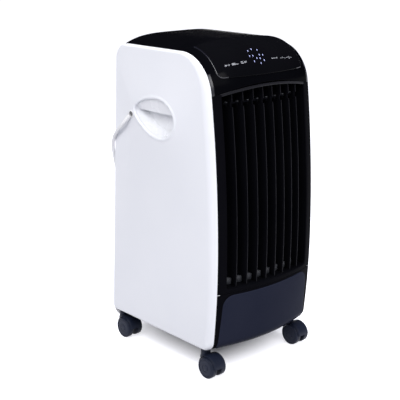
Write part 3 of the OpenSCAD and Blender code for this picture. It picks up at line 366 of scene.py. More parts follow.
topFront, topRear = cabinet["topFront"], cabinet["topRear"]
bottomFront, bottomRear = cabinet["bottomFront"], cabinet["bottomRear"]
topFrontZ = cabinet["sideTop"] - topFront
topFrontTilt = frontTilt(topFrontZ + topFront * sin(frontTilt(topFrontZ)))
headZ = topFrontZ + topFront * sin(topFrontTilt)
topFrontY = frontY(headZ) + topFront * cos(topFrontTilt)
bottomFrontZ = cabinet["underside"] + bottomFront
bottomFrontTilt = -frontTilt(bottomFrontZ + bottomFront * sin(frontTilt(bottomFrontZ)))
footZ = bottomFrontZ - bottomFront * sin(bottomFrontTilt)
bottomFrontY = frontY(footZ) + bottomFront * cos(bottomFrontTilt)
topRearZ = cabinet["sideTop"] - topRear
topRearY = rearY(topRearZ) - topRear / cos(lean)
bottomRearZ = cabinet["underside"] + bottomRear
bottomRearY = rearY(bottomRearZ) - bottomRear / cos(lean)


# a row is a place of the outline, (y, z), and its outward direction
def arcRows(y, z, r, a0, a1, n):
    rows = []
    for a in steps(radians(a0), radians(a1), n):
        rows.append((y + r * cos(a), z + r * sin(a), cos(a), sin(a)))
    return rows


def hoodRows(a0, a1, n):
    return arcRows(topFrontY, topFrontZ, topFront, a0, a1, n)


def footRows(a0, a1, n):
    return arcRows(bottomFrontY, bottomFrontZ, bottomFront, a0, a1, n)


def footArc(n):
    return footRows(270, 180 + degrees(bottomFrontTilt), n)


def frontRow(z):
    return (frontY(z), z, -cos(frontTilt(z)), sin(frontTilt(z)))


def frontRows(z0, z1, n):
    return [frontRow(z) for z in steps(z0, z1, n)]


def skin(x, row, depth):
    # bowed in front and crowned on top
    y, z, outY, outZ = row
    out = bow(x) * max(0, -outY) ** 2
    out += cabinet["crown"] * (1 - (x / seamX) ** 4) * max(0, outZ) ** 2
    out -= depth
    return (x, y + out * outY, z + out * outZ)


def rowGaps(rows):
    return [hypot(q[0] - p[0], q[1] - p[1]) for p, q in zip(rows, rows[1:])]


def sampleRows(rows, stations):
    # rows at given distances along a dense run of rows
    lengths = [0]
    for span in rowGaps(rows):
        lengths.append(lengths[-1] + span)
    found, k = [], 0
    for s in stations:
        s = min(max(s, 0), lengths[-1])
        while k < len(rows) - 2 and lengths[k + 1] < s:
            k += 1
        t = (s - lengths[k]) / max(lengths[k + 1] - lengths[k], 1e-9)
        y, z, outY, outZ = (a + (b - a) * t for a, b in zip(rows[k], rows[k + 1]))
        size = hypot(outY, outZ)
        found.append((y, z, outY / size, outZ / size))
    return found


def edgeSpots(length, r, n):
    # stations that are close together where an edge is rounded
    near = [r * (1 - cos(a)) for a in steps(0, pi / 2, cabinet["roundParts"])]
    return near + steps(r, length - r, n)[1:-1] + [length - d for d in reversed(near)]


def cornerDrop(inset, r):
    # how far a round corner falls back, this far in from its edge
    return 0 if inset >= r else r - sqrt(max(r * r - (r - inset) ** 2, 0))


def edgeDrop(spot, length, r):
    return cornerDrop(min(spot, length - spot), r)


def skinPlate(half, rowsAt, depths, r, parts, widen=None, rim=None):
    # plate of the skin between two depths; its side edges may have a finish of their own
    shape = newShape()
    outer, inner = depths
    columns, n = parts
    rings = []
    for across in edgeSpots(2 * half, r, columns):
        rows = rowsAt(half - across)
        length = sum(rowGaps(rows))
        spots = edgeSpots(length, r, n)
        found = sampleRows(rows, spots)
        wide = [(half - across) * (widen(row) if widen else 1) for row in found]
        side = edgeDrop(across, 2 * half, r)
        front = []
        for x, spot, row in zip(wide, spots, found):
            sink = min(hypot(side, edgeDrop(spot, length, r)), r)
            front.append(skin(x, row, outer + sink))
        rings.append(front + [skin(x, row, inner) for x, row in zip(reversed(wide), reversed(found))])
    addLoft(shape, rings)
    count, total, rounding = len(rings[0]), len(rings), cabinet["roundParts"]
    for k in range(total - 1):
        beside = min(k, total - 2 - k)
        for i in range(count // 2):
            if rim and (beside < rounding or (i < rounding and beside < 2 * rounding)):
                shape["finish"][k * count + i] = rim
    return shape


# mains cord: loose run down the back, coil in three turns on two layers, plug
cord = {
    "radius": 3.25, "sides": 14, "knotParts": 10, "spacing": 4.0, "rounds": 22, "lookAhead": 4,
    "coilCentre": (20.0, 186.0), "coilMiddle": 35.75, "pitch": 6.62, "entry": -60.0, "coilParts": 400,
    "turns": 5 + 60 / 360, "plugX": 38.0, "plugLead": (4, 9, 14, 20),
    # where the cord changes turn or layer: start and span, in radians
    "inward": (3.15, 1.55), "upward": (1.72, 1.2), "outward": (0.3, 1.2),
}
cordKnots = [
    (-128, 85.9, 452.5), (-133.5, 92, 442.5), (-135, 104, 430.5), (-131.5, 127, 413), (-126.5, 144, 389),
    (-117, 148.5, 352), (-109.5, 149, 311), (-107, 152.3, 245), (-107, 156, 179), (-106.5, 161, 118),
    (-103.5, 173.9, 62), (-95.5, 190, 35), (-82, 194.5, 17.5), (-70.5, 191.4, 8), (-59.5, 188.0, 4.25),
    (-42.9, 188.0, 3.4), (-27.7, 194.8, 3.27),
]


def eased(angle, change):
    start, span = cord[change]
    t = min(max((angle - start) / span, 0), 1)
    return t * t * (3 - 2 * t)


def coilPoint(turn):
    # turn counts whole windings from the entry: three in on the floor, then three out on top
    entry = radians(cord["entry"])
    alpha = entry + 2 * pi * turn
    lap = int(floor(turn + 1e-9))
    angle = entry + 2 * pi * (turn - lap)
    inward, outward = eased(angle, "inward"), eased(angle, "outward")
    column = (inward, 1 + inward, 2, 2 - outward, 1 - outward, 0)[min(lap, 5)]
    layer = (0, 0, eased(angle, "upward"), 1, 1, 1)[min(lap, 5)]
    r = cord["coilMiddle"] + cord["pitch"] * (1 - column)
    cx, cy = cord["coilCentre"]
    level = cord["radius"] + cord["pitch"] * layer
    return Vector((cx + r * sin(alpha), cy + r * cos(alpha), level))


def throughKnots(knots, parts):
    knots = [Vector(k) for k in knots]
    found = []
    for k in range(len(knots) - 1):
        a, b, c, d = knots[max(k - 1, 0)], knots[k], knots[k + 1], knots[min(k + 2, len(knots) - 1)]
        for i in range(parts):
            t = i / parts
            found.append(
                b + (c - a) * (t / 2) + (a * 2 - b * 5 + c * 4 - d) * (t * t / 2)
                + (d - c * 3 + b * 3 - a) * (t ** 3 / 2)
            )
    return found + [knots[-1]]


def evenly(points, spacing, least=0.4):
    found = [points[0]]
    left = spacing
    for a, b in zip(points, points[1:]):
        span = (b - a).length
        at = left
        while at < span:
            found.append(a.lerp(b, at / span))
            at += spacing
        left = at - span
    if (found[-1] - points[-1]).length > spacing * least:
        found.append(points[-1])
    else:
        found[-1] = points[-1]
    return found


def relaxed(points, rounds):
    # evens out the bends, with the ends held
    for _ in range(rounds):
        between = zip(points, points[1:], points[2:])
        points = [points[0]] + [(a + b) * 0.25 + p * 0.5 for a, p, b in between] + [points[-1]]
    return points


coilRun = [coilPoint(cord["turns"] * k / cord["coilParts"]) for k in range(cord["coilParts"] + 1)]
# the last knot only gives the direction in which the coil starts
coilKnots = [coilRun[0], coilRun[cord["lookAhead"]]]
looseRun = throughKnots(cordKnots + coilKnots, cord["knotParts"])
looseRun = relaxed(evenly(looseRun[:-cord["knotParts"]], cord["spacing"]), cord["rounds"])
plugLead = [coilRun[-1] + Vector((d, 0, 0)) for d in cord["plugLead"]]
cordPath = [Vector((p.x, p.y, max(p.z, cord["radius"]))) for p in looseRun + coilRun[1:] + plugLead]


def addTube(shape, path, radiusAt, sides):
    rings = []
    up = None
    for k, p in enumerate(path):
        ahead = (path[min(k + 1, len(path) - 1)] - path[max(k - 1, 0)]).normalized()
        up = ahead.orthogonal().normalized() if up is None else (up - ahead * up.dot(ahead)).normalized()
        out = ahead.cross(up)
        rings.append([p + (up * cos(a) + out * sin(a)) * radiusAt(k) for a in turnsOf(sides)])
    addLoft(shape, rings)


cordShape = newShape()
addTube(cordShape, cordPath, lambda k: cord["radius"], cord["sides"])
cordPiece = addPiece(
    "powerCord", cordShape, ["cordWhite"], "cabinet", "cord_white", ("power_cord", "cord_coil"),
)

relief = {
    "length": 30.0, "thick": 0.9, "fit": 0.15, "groove": 0.35, "grooves": 14, "grooved": (0.12, 0.92),
    "reach": 16, "spacing": 1.0, "sides": 20, "y": 85.32, "z": 454.0, "segments": 36,
    "mouth": ((0, 0.1), (5.2, 0.1), (5.3, 0.2), (0, 0.2)),
    "collar": ((5.2, -0.2), (5.2, 0.7), (5.6, 1.1), (6.4, 1.1), (6.9, 0.6), (7.0, -0.2)),
}
reliefPath = evenly(cordPath[: relief["reach"]], relief["spacing"])[: int(relief["length"])]
reliefShape = newShape()


def reliefRadius(k):
    t = k / (len(reliefPath) - 1)
    start, end = relief["grooved"]
    groove = relief["groove"] if int(t * relief["grooves"]) % 2 and start < t < end else 0
    return cord["radius"] + relief["fit"] + relief["thick"] * (1 - t) - groove


addTube(reliefShape, reliefPath, reliefRadius, relief["sides"])
glandPlace = (-halfWidth, relief["y"], relief["z"])
# painted shade: a thin dark disc at the gland's mouth stands in for the shaded hole round the cord
addLathe(reliefShape, relief["mouth"], glandPlace, (-1, 0, 0), relief["segments"], finish=1)
addLathe(reliefShape, relief["collar"], glandPlace, (-1, 0, 0), relief["segments"])
reliefPiece = addPiece(
    "strainRelief", reliefShape, ["cordWhite", "glandHoleShade"], "cabinet", "cord_white", ("cord_gland",),
)

plug = {
    "y": 228.25, "z": 9.75, "boot": 28.0, "neck": 3.9, "ribs": 8, "ribRadius": 4.1, "ribGrow": 2.1,
    "rib": ((0, -1.2), (0, 0.6), (-0.7, 0.9), (-0.7, 1.5)), "bootEnd": 6.3, "body": 36.0, "corner": 6.0,
    "cornerShare": 0.66, "cornerParts": 6, "bootSegments": 28, "pinSegments": 20,
    "sections": (  # distance, half width, half height
        (0.0, 9.0, 7.0), (0.6, 10.4, 7.9), (2.2, 12.0, 8.6), (6, 13.6, 9.1), (12, 14.0, 9.3),
        (20, 14.2, 9.3), (26, 15.4, 9.4), (29, 15.9, 9.45), (34.6, 15.9, 9.45), (35.6, 15.4, 9.0),
        (36.0, 14.6, 8.2),
    ),
    "pinPitch": 18.6, "sleeve": ((0, -1), (2.3, -1), (2.3, 9), (2.0, 9.2), (2.0, 9.4), (0, 9.4)),
    "pin": ((0, 9.0), (2.0, 9.0), (2.0, 17.4), (1.6, 18.4), (0.8, 19.0), (0, 19.0)),
}
plugShape = newShape()
bootProfile = [(0, 0), (plug["neck"], 0)]
for k in range(plug["ribs"]):
    share = (k + 0.5) / plug["ribs"]
    for r, s in plug["rib"]:
        bootProfile.append((plug["ribRadius"] + plug["ribGrow"] * share + r, plug["boot"] * share + s))
bootProfile += [(plug["bootEnd"], plug["boot"]), (plug["bootEnd"], plug["boot"] + 1), (0, plug["boot"] + 1)]
addLathe(plugShape, bootProfile, (cord["plugX"], plug["y"], plug["z"]), sideways, plug["bootSegments"])
plugStart = cord["plugX"] + plug["boot"]
plugRings = []
for s, half, tall in plug["sections"]:
    loop = roundedLoop(half, tall, min(plug["corner"], tall * plug["cornerShare"]), plug["cornerParts"])
    plugRings.append([(plugStart + s, plug["y"] + u, plug["z"] + v) for u, v in loop])
addLoft(plugShape, plugRings)
for side in (-1, 1):
    pinPlace = (plugStart + plug["body"], plug["y"] + side * plug["pinPitch"] / 2, plug["z"])
    addLathe(plugShape, plug["sleeve"], pinPlace, sideways, plug["pinSegments"])
    addLathe(plugShape, plug["pin"], pinPlace, sideways, plug["pinSegments"], finish=1)
plugPiece = addPiece(
    "mainsPlug", plugShape, ["cordWhite", "brightSteel"], "cabinet", "cord_white", ("mains_plug",),
)

tie = {
    "angle": 150.0, "width": 7.0, "thick": 0.9, "fit": 0.2, "underOuter": 0.02, "underInner": 0.05,
    "parts": 4,
}
tieAngle = radians(tie["angle"])
radial = Vector((sin(tieAngle), cos(tieAngle), 0))
along = Vector((cos(tieAngle), -sin(tieAngle), 0))


def tieLoop(s, thick, lowest):
    r = cord["radius"] + tie["fit"] + thick
    loop = []
    for u, v in roundedLoop(cord["pitch"] + r, cord["pitch"] / 2 + r, r, tie["parts"]):
        spot = Vector((*cord["coilCentre"], 0)) + radial * (cord["coilMiddle"] + u) + along * s
        loop.append((spot.x, spot.y, max(cord["radius"] + cord["pitch"] / 2 + v, lowest)))
    return loop


tieShape = newShape()
tieSteps = steps(-tie["width"] / 2, tie["width"] / 2, tie["parts"])
tieLoops = [tieLoop(s, tie["thick"], tie["underOuter"]) for s in tieSteps]
tieLoops += [tieLoop(s, 0, tie["underInner"]) for s in reversed(tieSteps)]
addLoft(tieShape, tieLoops, ends="loop")
tiePiece = addPiece("coilTie", tieShape, ["chassisBlack"], "cabinet", "chassis_black")


# side panels with their handle pockets
grip = {
    "y": 5.463, "z": 455.0, "r": 38.0, "long": 61.0, "tip": 8.0, "narrow": 0.42, "lift": 9.0, "parts": 76,
    "bead": (  # growth and rise of the rim, from the panel's face into the pocket
        (8.2, 0), (7.2, 0.25), (5.8, 0.95), (4.4, 1.5), (3.0, 1.6), (1.8, 1.2), (0.8, 0.3), (0.2, -0.9),
        (0, -2.2), (1.2, -2.2), (1.2, -2.5),
    ),
    "depth": 24.0, "floorShare": 0.74, "swell": 2.6, "flange": 5.0, "outside": (12, 18, 24),
    "outsideGap": 1.2, "outsideShare": 0.05,
    "floor": ((0.05, 0.7), (0.3, 0.68), (0.5, 0.55), (0.64, 0.3)),  # share of the outline, dip
    "lipHeight": 9.5, "lipDepth": 9.0, "lipGrow": 0.8, "lipLeast": 1.6, "lipEnds": (0.004, 0.996),
    "noseLift": 0.9, "noseBack": 1.25, "noseRadius": 1.3, "noseTurn": (0.35, pi - 0.2),
    "innerBack": 2.4, "innerRun": 2.0, "innerLift": 1.3, "cupParts": 22, "lipParts": 30, "faceParts": 10,
    "noseParts": 7, "innerParts": 6,
}
sideEdge = {
    "parts": 16, "turnShare": 0.75, "faceInset": 1.4, "backInset": 0.3, "footParts": 14, "frontParts": 44,
    "hoodParts": 30, "rearParts": 16, "heelParts": 10,
}
rimRadius = (cabinet["rimWidth"] ** 2 + cabinet["rimDepth"] ** 2) / (2 * cabinet["rimWidth"])
rimAngle = asin(cabinet["rimDepth"] / rimRadius)
sideRows = (
    footArc(sideEdge["footParts"])
    + frontRows(footZ, headZ, sideEdge["frontParts"])[1:-1]
    + hoodRows(180 - degrees(topFrontTilt), 90, sideEdge["hoodParts"])
    + arcRows(topRearY, topRearZ, topRear, 90, cabinet["lean"], sideEdge["rearParts"])
    + arcRows(bottomRearY, bottomRearZ, bottomRear, cabinet["lean"], -90, sideEdge["heelParts"])
)


def rimPlace(t, row):
    # how far in from the side and in from the outline, at a share of the way round the edge
    share = max(0, -row[2]) ** 2
    edge, turned = cabinet["edge"], sideEdge["turnShare"]
    turn = pi / 2 * min(t / turned, 1)
    tail = max(t - turned, 0) / (1 - turned)
    otherX = edge * (1 - cos(turn)) + (cabinet["rimWidth"] - edge) * tail
    otherIn = edge * (1 - sin(turn))
    wrapX = rimRadius * (1 - cos(rimAngle * t))
    wrapIn = rimRadius * (sin(rimAngle) - sin(rimAngle * t))
    return share * wrapX + (1 - share) * otherX, share * wrapIn + (1 - share) * otherIn


def dropRing(x, grow, share=1.0):
    # the pocket's outline: round in front, with a narrower and higher rear end
    half = (grip["r"] + grip["long"] + grip["tip"]) / 2
    centre = grip["y"] - grip["r"] + half
    middle = grip["y"] + grip["long"] / 3
    ring = []
    for a in turnsOf(grip["parts"]):
        rear = (1 + cos(a)) / 2
        tall = grip["r"] * (1 - grip["narrow"] * rear ** 1.5) + grow
        y = centre + (half + grow) * cos(a)
        z = tall * sin(a) + grip["lift"] * rear ** 2
        ring.append((x, middle + share * (y - middle), grip["z"] + share * z))
    return ring


def addSidePiece(side, name, node, shape, finish, **ways):
    hand = "left" if side < 0 else "right"
    shape["points"] = [(side * x, y, z) for x, y, z in shape["points"]]
    addPiece(hand + name, shape, [finish], "cabinet", "panel_white", (hand + node,), **ways)


def sidePanel(side):
    starts = [rimPlace(0, row)[1] for row in sideRows]
    edges = [[(halfWidth, start + sideEdge["faceInset"]) for start in starts]]
    for t in steps(0, 1, sideEdge["parts"]):
        places = [rimPlace(t, row) for row in sideRows]
        edges.append([(halfWidth - inX, inset) for inX, inset in places])
    edges.append([(seamX, wall)] * len(sideRows))
    edges.append([(halfWidth - wall, start + sideEdge["backInset"]) for start in starts])
    rings = []
    for edge in edges:
        rings.append([(x, row[0] - d * row[2], row[1] - d * row[3]) for row, (x, d) in zip(sideRows, edge)])
    shape = newShape()
    addLoft(shape, rings, ends="open")
    addLoft(shape, [dropRing(halfWidth + rise, grow) for grow, rise in grip["bead"]], ends="open")
    fills = ((0, side * halfWidth), (0, side * (halfWidth - wall)))
    addSidePiece(side, "SidePanel", "_side_panel", shape, "panelWhite", sharp=50, fills=fills)


def cupShare(depth):
    return 1 - (1 - grip["floorShare"]) * (depth / grip["depth"]) ** grip["swell"]


def crossings(points, level):
    # where a closed line of (a, b) points has b at a level
    found = []
    for (a0, b0), (a1, b1) in zip(points, points[1:] + points[:1]):
        if (b0 - level) * (b1 - level) <= 0 and b0 != b1:
            found.append(a0 + (a1 - a0) * (level - b0) / (b1 - b0))
    return found


def handleCup(side):
    shape = newShape()
    depth, flange = grip["depth"], grip["flange"]
    back = halfWidth - wall - gap
    rings = [dropRing(halfWidth - depth - dip, 0, share) for share, dip in grip["floor"]]
    rings += [dropRing(halfWidth - d, 0, cupShare(d)) for d in steps(depth, wall + gap, grip["cupParts"])]
    rings += [dropRing(back, flange), dropRing(back - wall, flange), dropRing(back - wall, wall)]
    for d in grip["outside"]:
        x = halfWidth - d - grip["outsideGap"] - d * grip["outsideShare"]
        rings.append(dropRing(x, wall, cupShare(d)))
    addLoft(shape, rings)
    outline = [(b, c) for a, b, c in dropRing(0, grip["lipGrow"])]
    low = grip["z"] + grip["lipHeight"]
    front, nose = halfWidth - grip["lipDepth"], low + grip["noseLift"]
    ends = crossings(outline, low)
    lipRings = []
    for t in steps(*grip["lipEnds"], grip["lipParts"]):
        y = min(ends) + (max(ends) - min(ends)) * t
        top = max(max(crossings([(b, a) for a, b in outline], y)), low + grip["lipLeast"])
        ring = []
        for s in steps(0, 1, grip["faceParts"]):
            ring.append((back + (front - back) * s, y, top + (nose - top) * s))
        start, end = grip["noseTurn"]
        noseX = front - grip["noseBack"]
        noseArc = arc(noseX, nose, grip["noseRadius"], -1, start, end, grip["noseParts"])
        ring += [(x, y, z) for x, z in noseArc]
        inner = low + grip["innerLift"]
        for s in steps(0, 1, grip["innerParts"]):
            ring.append((front - grip["innerBack"] + grip["innerRun"] * s, y, inner + (top - inner) * s))
        lipRings.append(ring)
    addLoft(shape, lipRings)
    # the pocket takes the lighter white: painted light against the shade inside it
    addSidePiece(side, "HandleCup", "_handle_cup", shape, "cupLightenedWhite", sharp=45)


for side in (-1, 1):
    sidePanel(side)
    handleCup(side)
print("side panels made")


# top cover with the raised touch panel
cover = {
    "round": 1.0, "parts": (56, 84), "sheenFrom": 113.5, "sheenTop": 546.0, "panelHalf": 102.5,
    "panelLow": 540.0, "panelCorner": 9.0, "panelRise": 1.6, "panelBack": 98.0, "panelParts": (56, 40),
    "panelSeat": -0.05, "bulge": 12.0, "hoodParts": 60, "levelParts": 14, "rearParts": 24,
    "search": (95.0, 179.0), "searchRounds": 40,
}


def coverRows(x):
    start = 180 - degrees(asin((archZ(x) - topFrontZ) / topFront))
    level = [(y, cabinet["sideTop"], 0, 1) for y in steps(topFrontY, topRearY, cover["levelParts"])[1:-1]]
    rows = hoodRows(start, 90, cover["hoodParts"]) + level
    return rows + arcRows(topRearY, topRearZ, topRear, 90, cabinet["lean"], cover["rearParts"])


def onHood(x, angle, rise):
    return skin(x, hoodRows(angle, angle, 1)[0], -rise)


coverShape = skinPlate(innerX, coverRows, (0, wall), cover["round"], cover["parts"])
# painted sheen: the hood's front faces near its side edges, below sheenTop, take the lighter black
paintFaces(
    coverShape, 1, lambda x, y, z: abs(x) > cover["sheenFrom"] and z < cover["sheenTop"] and y < 0,
)
addPlate("topCover", coverShape, ["glossBlack", "hoodPaintedSheen"], "gloss_black", "top_cover")


def angleAtHeight(x, z, rise):
    low, high = cover["search"]
    for _ in range(cover["searchRounds"]):
        a = (low + high) / 2
        if onHood(x, a, rise)[2] > z:
            low = a
        else:
            high = a
    return low


def panelRows(x):
    low = cover["panelLow"] + cornerDrop(cover["panelHalf"] - abs(x), cover["panelCorner"])
    return hoodRows(angleAtHeight(x, low, cover["panelRise"]), cover["panelBack"], cover["hoodParts"])


# painted highlight: the touch panel's side edges and lower corners take a lighter, glossier finish
panelShape = skinPlate(
    cover["panelHalf"], panelRows, (-cover["panelRise"], cover["panelSeat"]), cover["round"],
    cover["panelParts"], rim=1,
)
addPlate("controlPanel", panelShape, ["panelFilm", "panelEdgeHighlight"], "gloss_black", "control_panel")


def onPanel(x, angle, u, v, lift):
    # a point of the touch panel, u across and v up along it from a place on it
    return onHood(x + u, angle - degrees(v / (topFront + cover["bulge"])), cover["panelRise"] + lift)


keys = {
    "angle": 141.9, "width": 0.58, "tall": 0.72, "lift": 0.12, "under": 0.01, "arcParts": 14,
    "places": (-80.6, -61.7, -42.3, 31.5, 51.8, 71.3),
}


def addStroke(shape, place, line):
    # flat ink line along points on the panel
    width, lift, under = keys["width"], keys["lift"], keys["under"]
    rings = []
    for k, (u, v) in enumerate(line):
        u0, v0 = line[max(k - 1, 0)]
        u1, v1 = line[min(k + 1, len(line) - 1)]
        size = hypot(u1 - u0, v1 - v0)
        du, dv = -(v1 - v0) / size * width / 2, (u1 - u0) / size * width / 2
        corners = ((1, lift), (-1, lift), (-1, under), (1, under))
        rings.append([onPanel(*place, u + way * du, v + way * dv, high) for way, high in corners])
    addLoft(shape, rings)


def arcLine(u, v, r, a0, a1):
    return arc(u, v, r, r, radians(a0), radians(a1), keys["arcParts"])


def spoke(r, a):
    return [(-r * cos(a), -r * sin(a)), (r * cos(a), r * sin(a))]


legends = [
    [spoke(2.6, a) for a in (0, 1.047, 2.094)] + [[(4.2, 1.2), (8, 1.2)], [(4.2, -1.2), (7, -1.2)]],
    [[(-7, 1.8), (0, 1.8)], [(-7, 0), (3, 0)], [(-7, -1.8), (6.5, -1.8)]],
    [
        arcLine(-4, 0, 2.6, 0, 350), [(-4, 1.6), (-4, 0), (-2.8, -0.6)], [(0.4, 1.2), (6.5, 1.2)],
        [(0.4, -1.2), (5, -1.2)],
    ],
    [[(-7, 0), (7, 0)], [(-5, 1.7), (-7, 0), (-5, -1.7)], [(5, 1.7), (7, 0), (5, -1.7)]],
    [
        [(-6, -2), (-6, -0.6)], [(-3, -2), (-3, 0.3)], [(0, -2), (0, 1.2)], [(3, -2), (3, 2)],
        [(5.4, -1.6), (8, -1.6)],
    ],
    [arcLine(0, -0.2, 2.6, 125, 415), [(0, 0.6), (0, 3.0)], [(4.4, 0), (8, 0)], [(-8, 0), (-4.4, 0)]],
]
inkShape = newShape()
for x, lines in zip(keys["places"], legends):
    for line in lines:
        addStroke(inkShape, (x, keys["angle"]), [(u, v * keys["tall"]) for u, v in line])
addPiece("keyLegends", inkShape, ["legendWhite"], "cabinet", "panel_white")

lens = {
    "angle": 138.0, "long": 3.4, "wide": 1.7, "slant": 18.0, "parts": 18,
    "dome": ((1.0, 0.01), (1.0, 0.12), (0.8, 0.28), (0.35, 0.35)),  # share of the size, lift
    "spots": (
        (-19, 14.4), (-9, 17.1), (2.7, 14), (-23.2, 3.4), (-15.6, 3.3), (-0.2, 3.6), (7.6, 2.6),
        (-10, -2.4), (-2.8, -3.2), (-19, -7.3), (4.4, -7.7), (-6.3, -12.1),
    ),
    "blotchScale": 900, "tone": (0.30, 0.33, 0.62), "second": (0.42, 0.45, 0.74), "glow": 0.45,
    "rough": 0.25,
}
lensShape = newShape()
slant = radians(90 - lens["slant"])
for u, v in lens["spots"]:
    rings = []
    for share, lift in lens["dome"]:
        ring = []
        for a in turnsOf(lens["parts"]):
            du = lens["long"] / 2 * cos(a) * share
            dv = lens["wide"] / 2 * sin(a) * share
            across = u + du * cos(slant) - dv * sin(slant)
            up = v + du * sin(slant) + dv * cos(slant)
            ring.append(onPanel(0.0, lens["angle"], across, up, lift))
        rings.append(ring)
    addLoft(lensShape, rings)
glowLens, tree, shader, place = newMaterial("glowLens", lens["blotchScale"], lens["tone"], lens["second"])
tree.links.new(shader.inputs["Base Color"].links[0].from_socket, shader.inputs["Emission Color"])
shader.inputs["Emission Strength"].default_value = lens["glow"]
shader.inputs["Roughness"].default_value = lens["rough"]
finishes["glowLens"] = glowLens
addPiece("indicatorLenses", lensShape, ["glowLens"], "cabinet", "indicator_lens", ("display_leds",))
print("top made")


# front bezel round the outlet
bezel = {
    "corner": 5.0, "outer": 0.8, "inner": 1.4, "return": 4.0, "returnWall": 1.2, "lipBand": 2.0,
    "lipPast": 1.0, "lowParts": 30, "cornerParts": 12, "sideParts": 50, "topParts": 48, "outerParts": 4,
    "innerParts": 5, "flats": (0.35, 0.65),
}


def bezelTop(x):
    return archZ(x) - cabinet["bezelLip"]


def bezelPairs():
    # pairs of the outlet's edge and the bezel's rim, all the way round
    half, low = cabinet["outletHalf"], cabinet["openZ"]
    r = bezel["corner"]
    foot, inside = low + r, half - r
    pairs = [((x, low), (x, splitZ)) for x in steps(-inside, inside, bezel["lowParts"])]
    right = []
    for a in steps(90, 0, bezel["cornerParts"])[1:-1]:
        edge = (inside + r * cos(radians(a)), foot - r * sin(radians(a)))
        if a > 45:
            rim = (inside + (innerX - inside) * (90 - a) / 45, splitZ)
        else:
            rim = (innerX, splitZ + (foot - splitZ) * (45 - a) / 45)
        right.append((edge, rim))
    head, shoulder = bezelTop(half), archZ(innerX) - gap
    for t in steps(0, 1, bezel["sideParts"]):
        right.append(((half, foot + t * (head - foot)), (innerX, foot + t * (shoulder - foot))))
    pairs += right
    for t in steps(1, -1, bezel["topParts"])[1:-1]:
        pairs.append(((t * half, bezelTop(t * half)), (t * innerX, archZ(t * innerX) - gap)))
    return pairs + [((-e[0], e[1]), (-o[0], o[1])) for e, o in reversed(right)]


def bezelSection(size):
    # distance in from the rim, and depth
    r0, r1, back = bezel["outer"], bezel["inner"], bezel["return"]
    inside = size - bezel["returnWall"]
    run = [(0, wall)] + arc(r0, r0, -r0, -r0, 0, pi / 2, bezel["outerParts"])
    run += [(size * t, 0) for t in bezel["flats"]]
    run += arc(size - r1, r1, r1, r1, -pi / 2, 0, bezel["innerParts"])
    return run + [(size, back), (inside, back), (inside, wall)]


def onBezelLip(x, y, z):
    return z > bezelTop(x) - bezel["lipBand"] and abs(x) < cabinet["outletHalf"] + bezel["lipPast"]


bezelShape = newShape()
bezelRings = []
for edge, rim in bezelPairs():
    du, dv = edge[0] - rim[0], edge[1] - rim[1]
    size = hypot(du, dv)
    du, dv = du / size, dv / size
    bezelRings.append([skin(rim[0] + du * s, frontRow(rim[1] + dv * s), d) for s, d in bezelSection(size)])
addLoft(bezelShape, bezelRings, ends="loop")
# painted reflection: the band under the arch takes the lighter black
paintFaces(bezelShape, 1, onBezelLip)
addPlate("frontBezel", bezelShape, ["bezelBlack", "bezelLip"], "gloss_black", "front_bezel")

lower = {
    "frameRound": 0.8, "frameParts": (50, 44), "glintFrom": 113.5, "glintBand": 0.9, "half": 105.5,
    "flare": 6.0, "low": 57.0, "high": 160.0, "lowCorner": 5.0, "highCorner": 20.0, "rise": 1.5,
    "round": 0.9, "seat": -0.05, "parts": (56, 44), "rowParts": 40,
}
lowerRows = footArc(lower["rowParts"]) + frontRows(footZ, splitZ - gap, lower["rowParts"])[1:]
lowerShape = skinPlate(innerX, lambda x: lowerRows, (0, wall), lower["frameRound"], lower["frameParts"])
# painted glint: the lower frame's top edge takes the light grey finish near its two ends
paintFaces(
    lowerShape, 1, lambda x, y, z: z > splitZ - lower["glintBand"] and abs(x) > lower["glintFrom"],
)
addPlate("lowerFrontFrame", lowerShape, ["bezelBlack", "seamGlintPaint"], "gloss_black", "lower_front_frame")


def rowAt(z):
    if z > footZ:
        return frontRow(z)
    a = 180 + degrees(asin((bottomFrontZ - z) / bottomFront))
    return footRows(a, a, 1)[0]


def lowerPanelRows(x):
    inset = lower["half"] - abs(x)
    low = lower["low"] + cornerDrop(inset, lower["lowCorner"])
    high = lower["high"] - cornerDrop(inset, lower["highCorner"])
    return [rowAt(low)] + [row for row in lowerRows if low <= row[1] <= high] + [rowAt(high)]


def lowerFlare(row):
    return 1 + lower["flare"] / lower["half"] * (lower["high"] - row[1]) / (lower["high"] - lower["low"])


slateShape = skinPlate(
    lower["half"], lowerPanelRows, (-lower["rise"], lower["seat"]), lower["round"], lower["parts"],
    widen=lowerFlare,
)
addPlate("lowerFrontPanel", slateShape, ["slateFront"], "slate_front", "lower_front_panel")
print("front made")


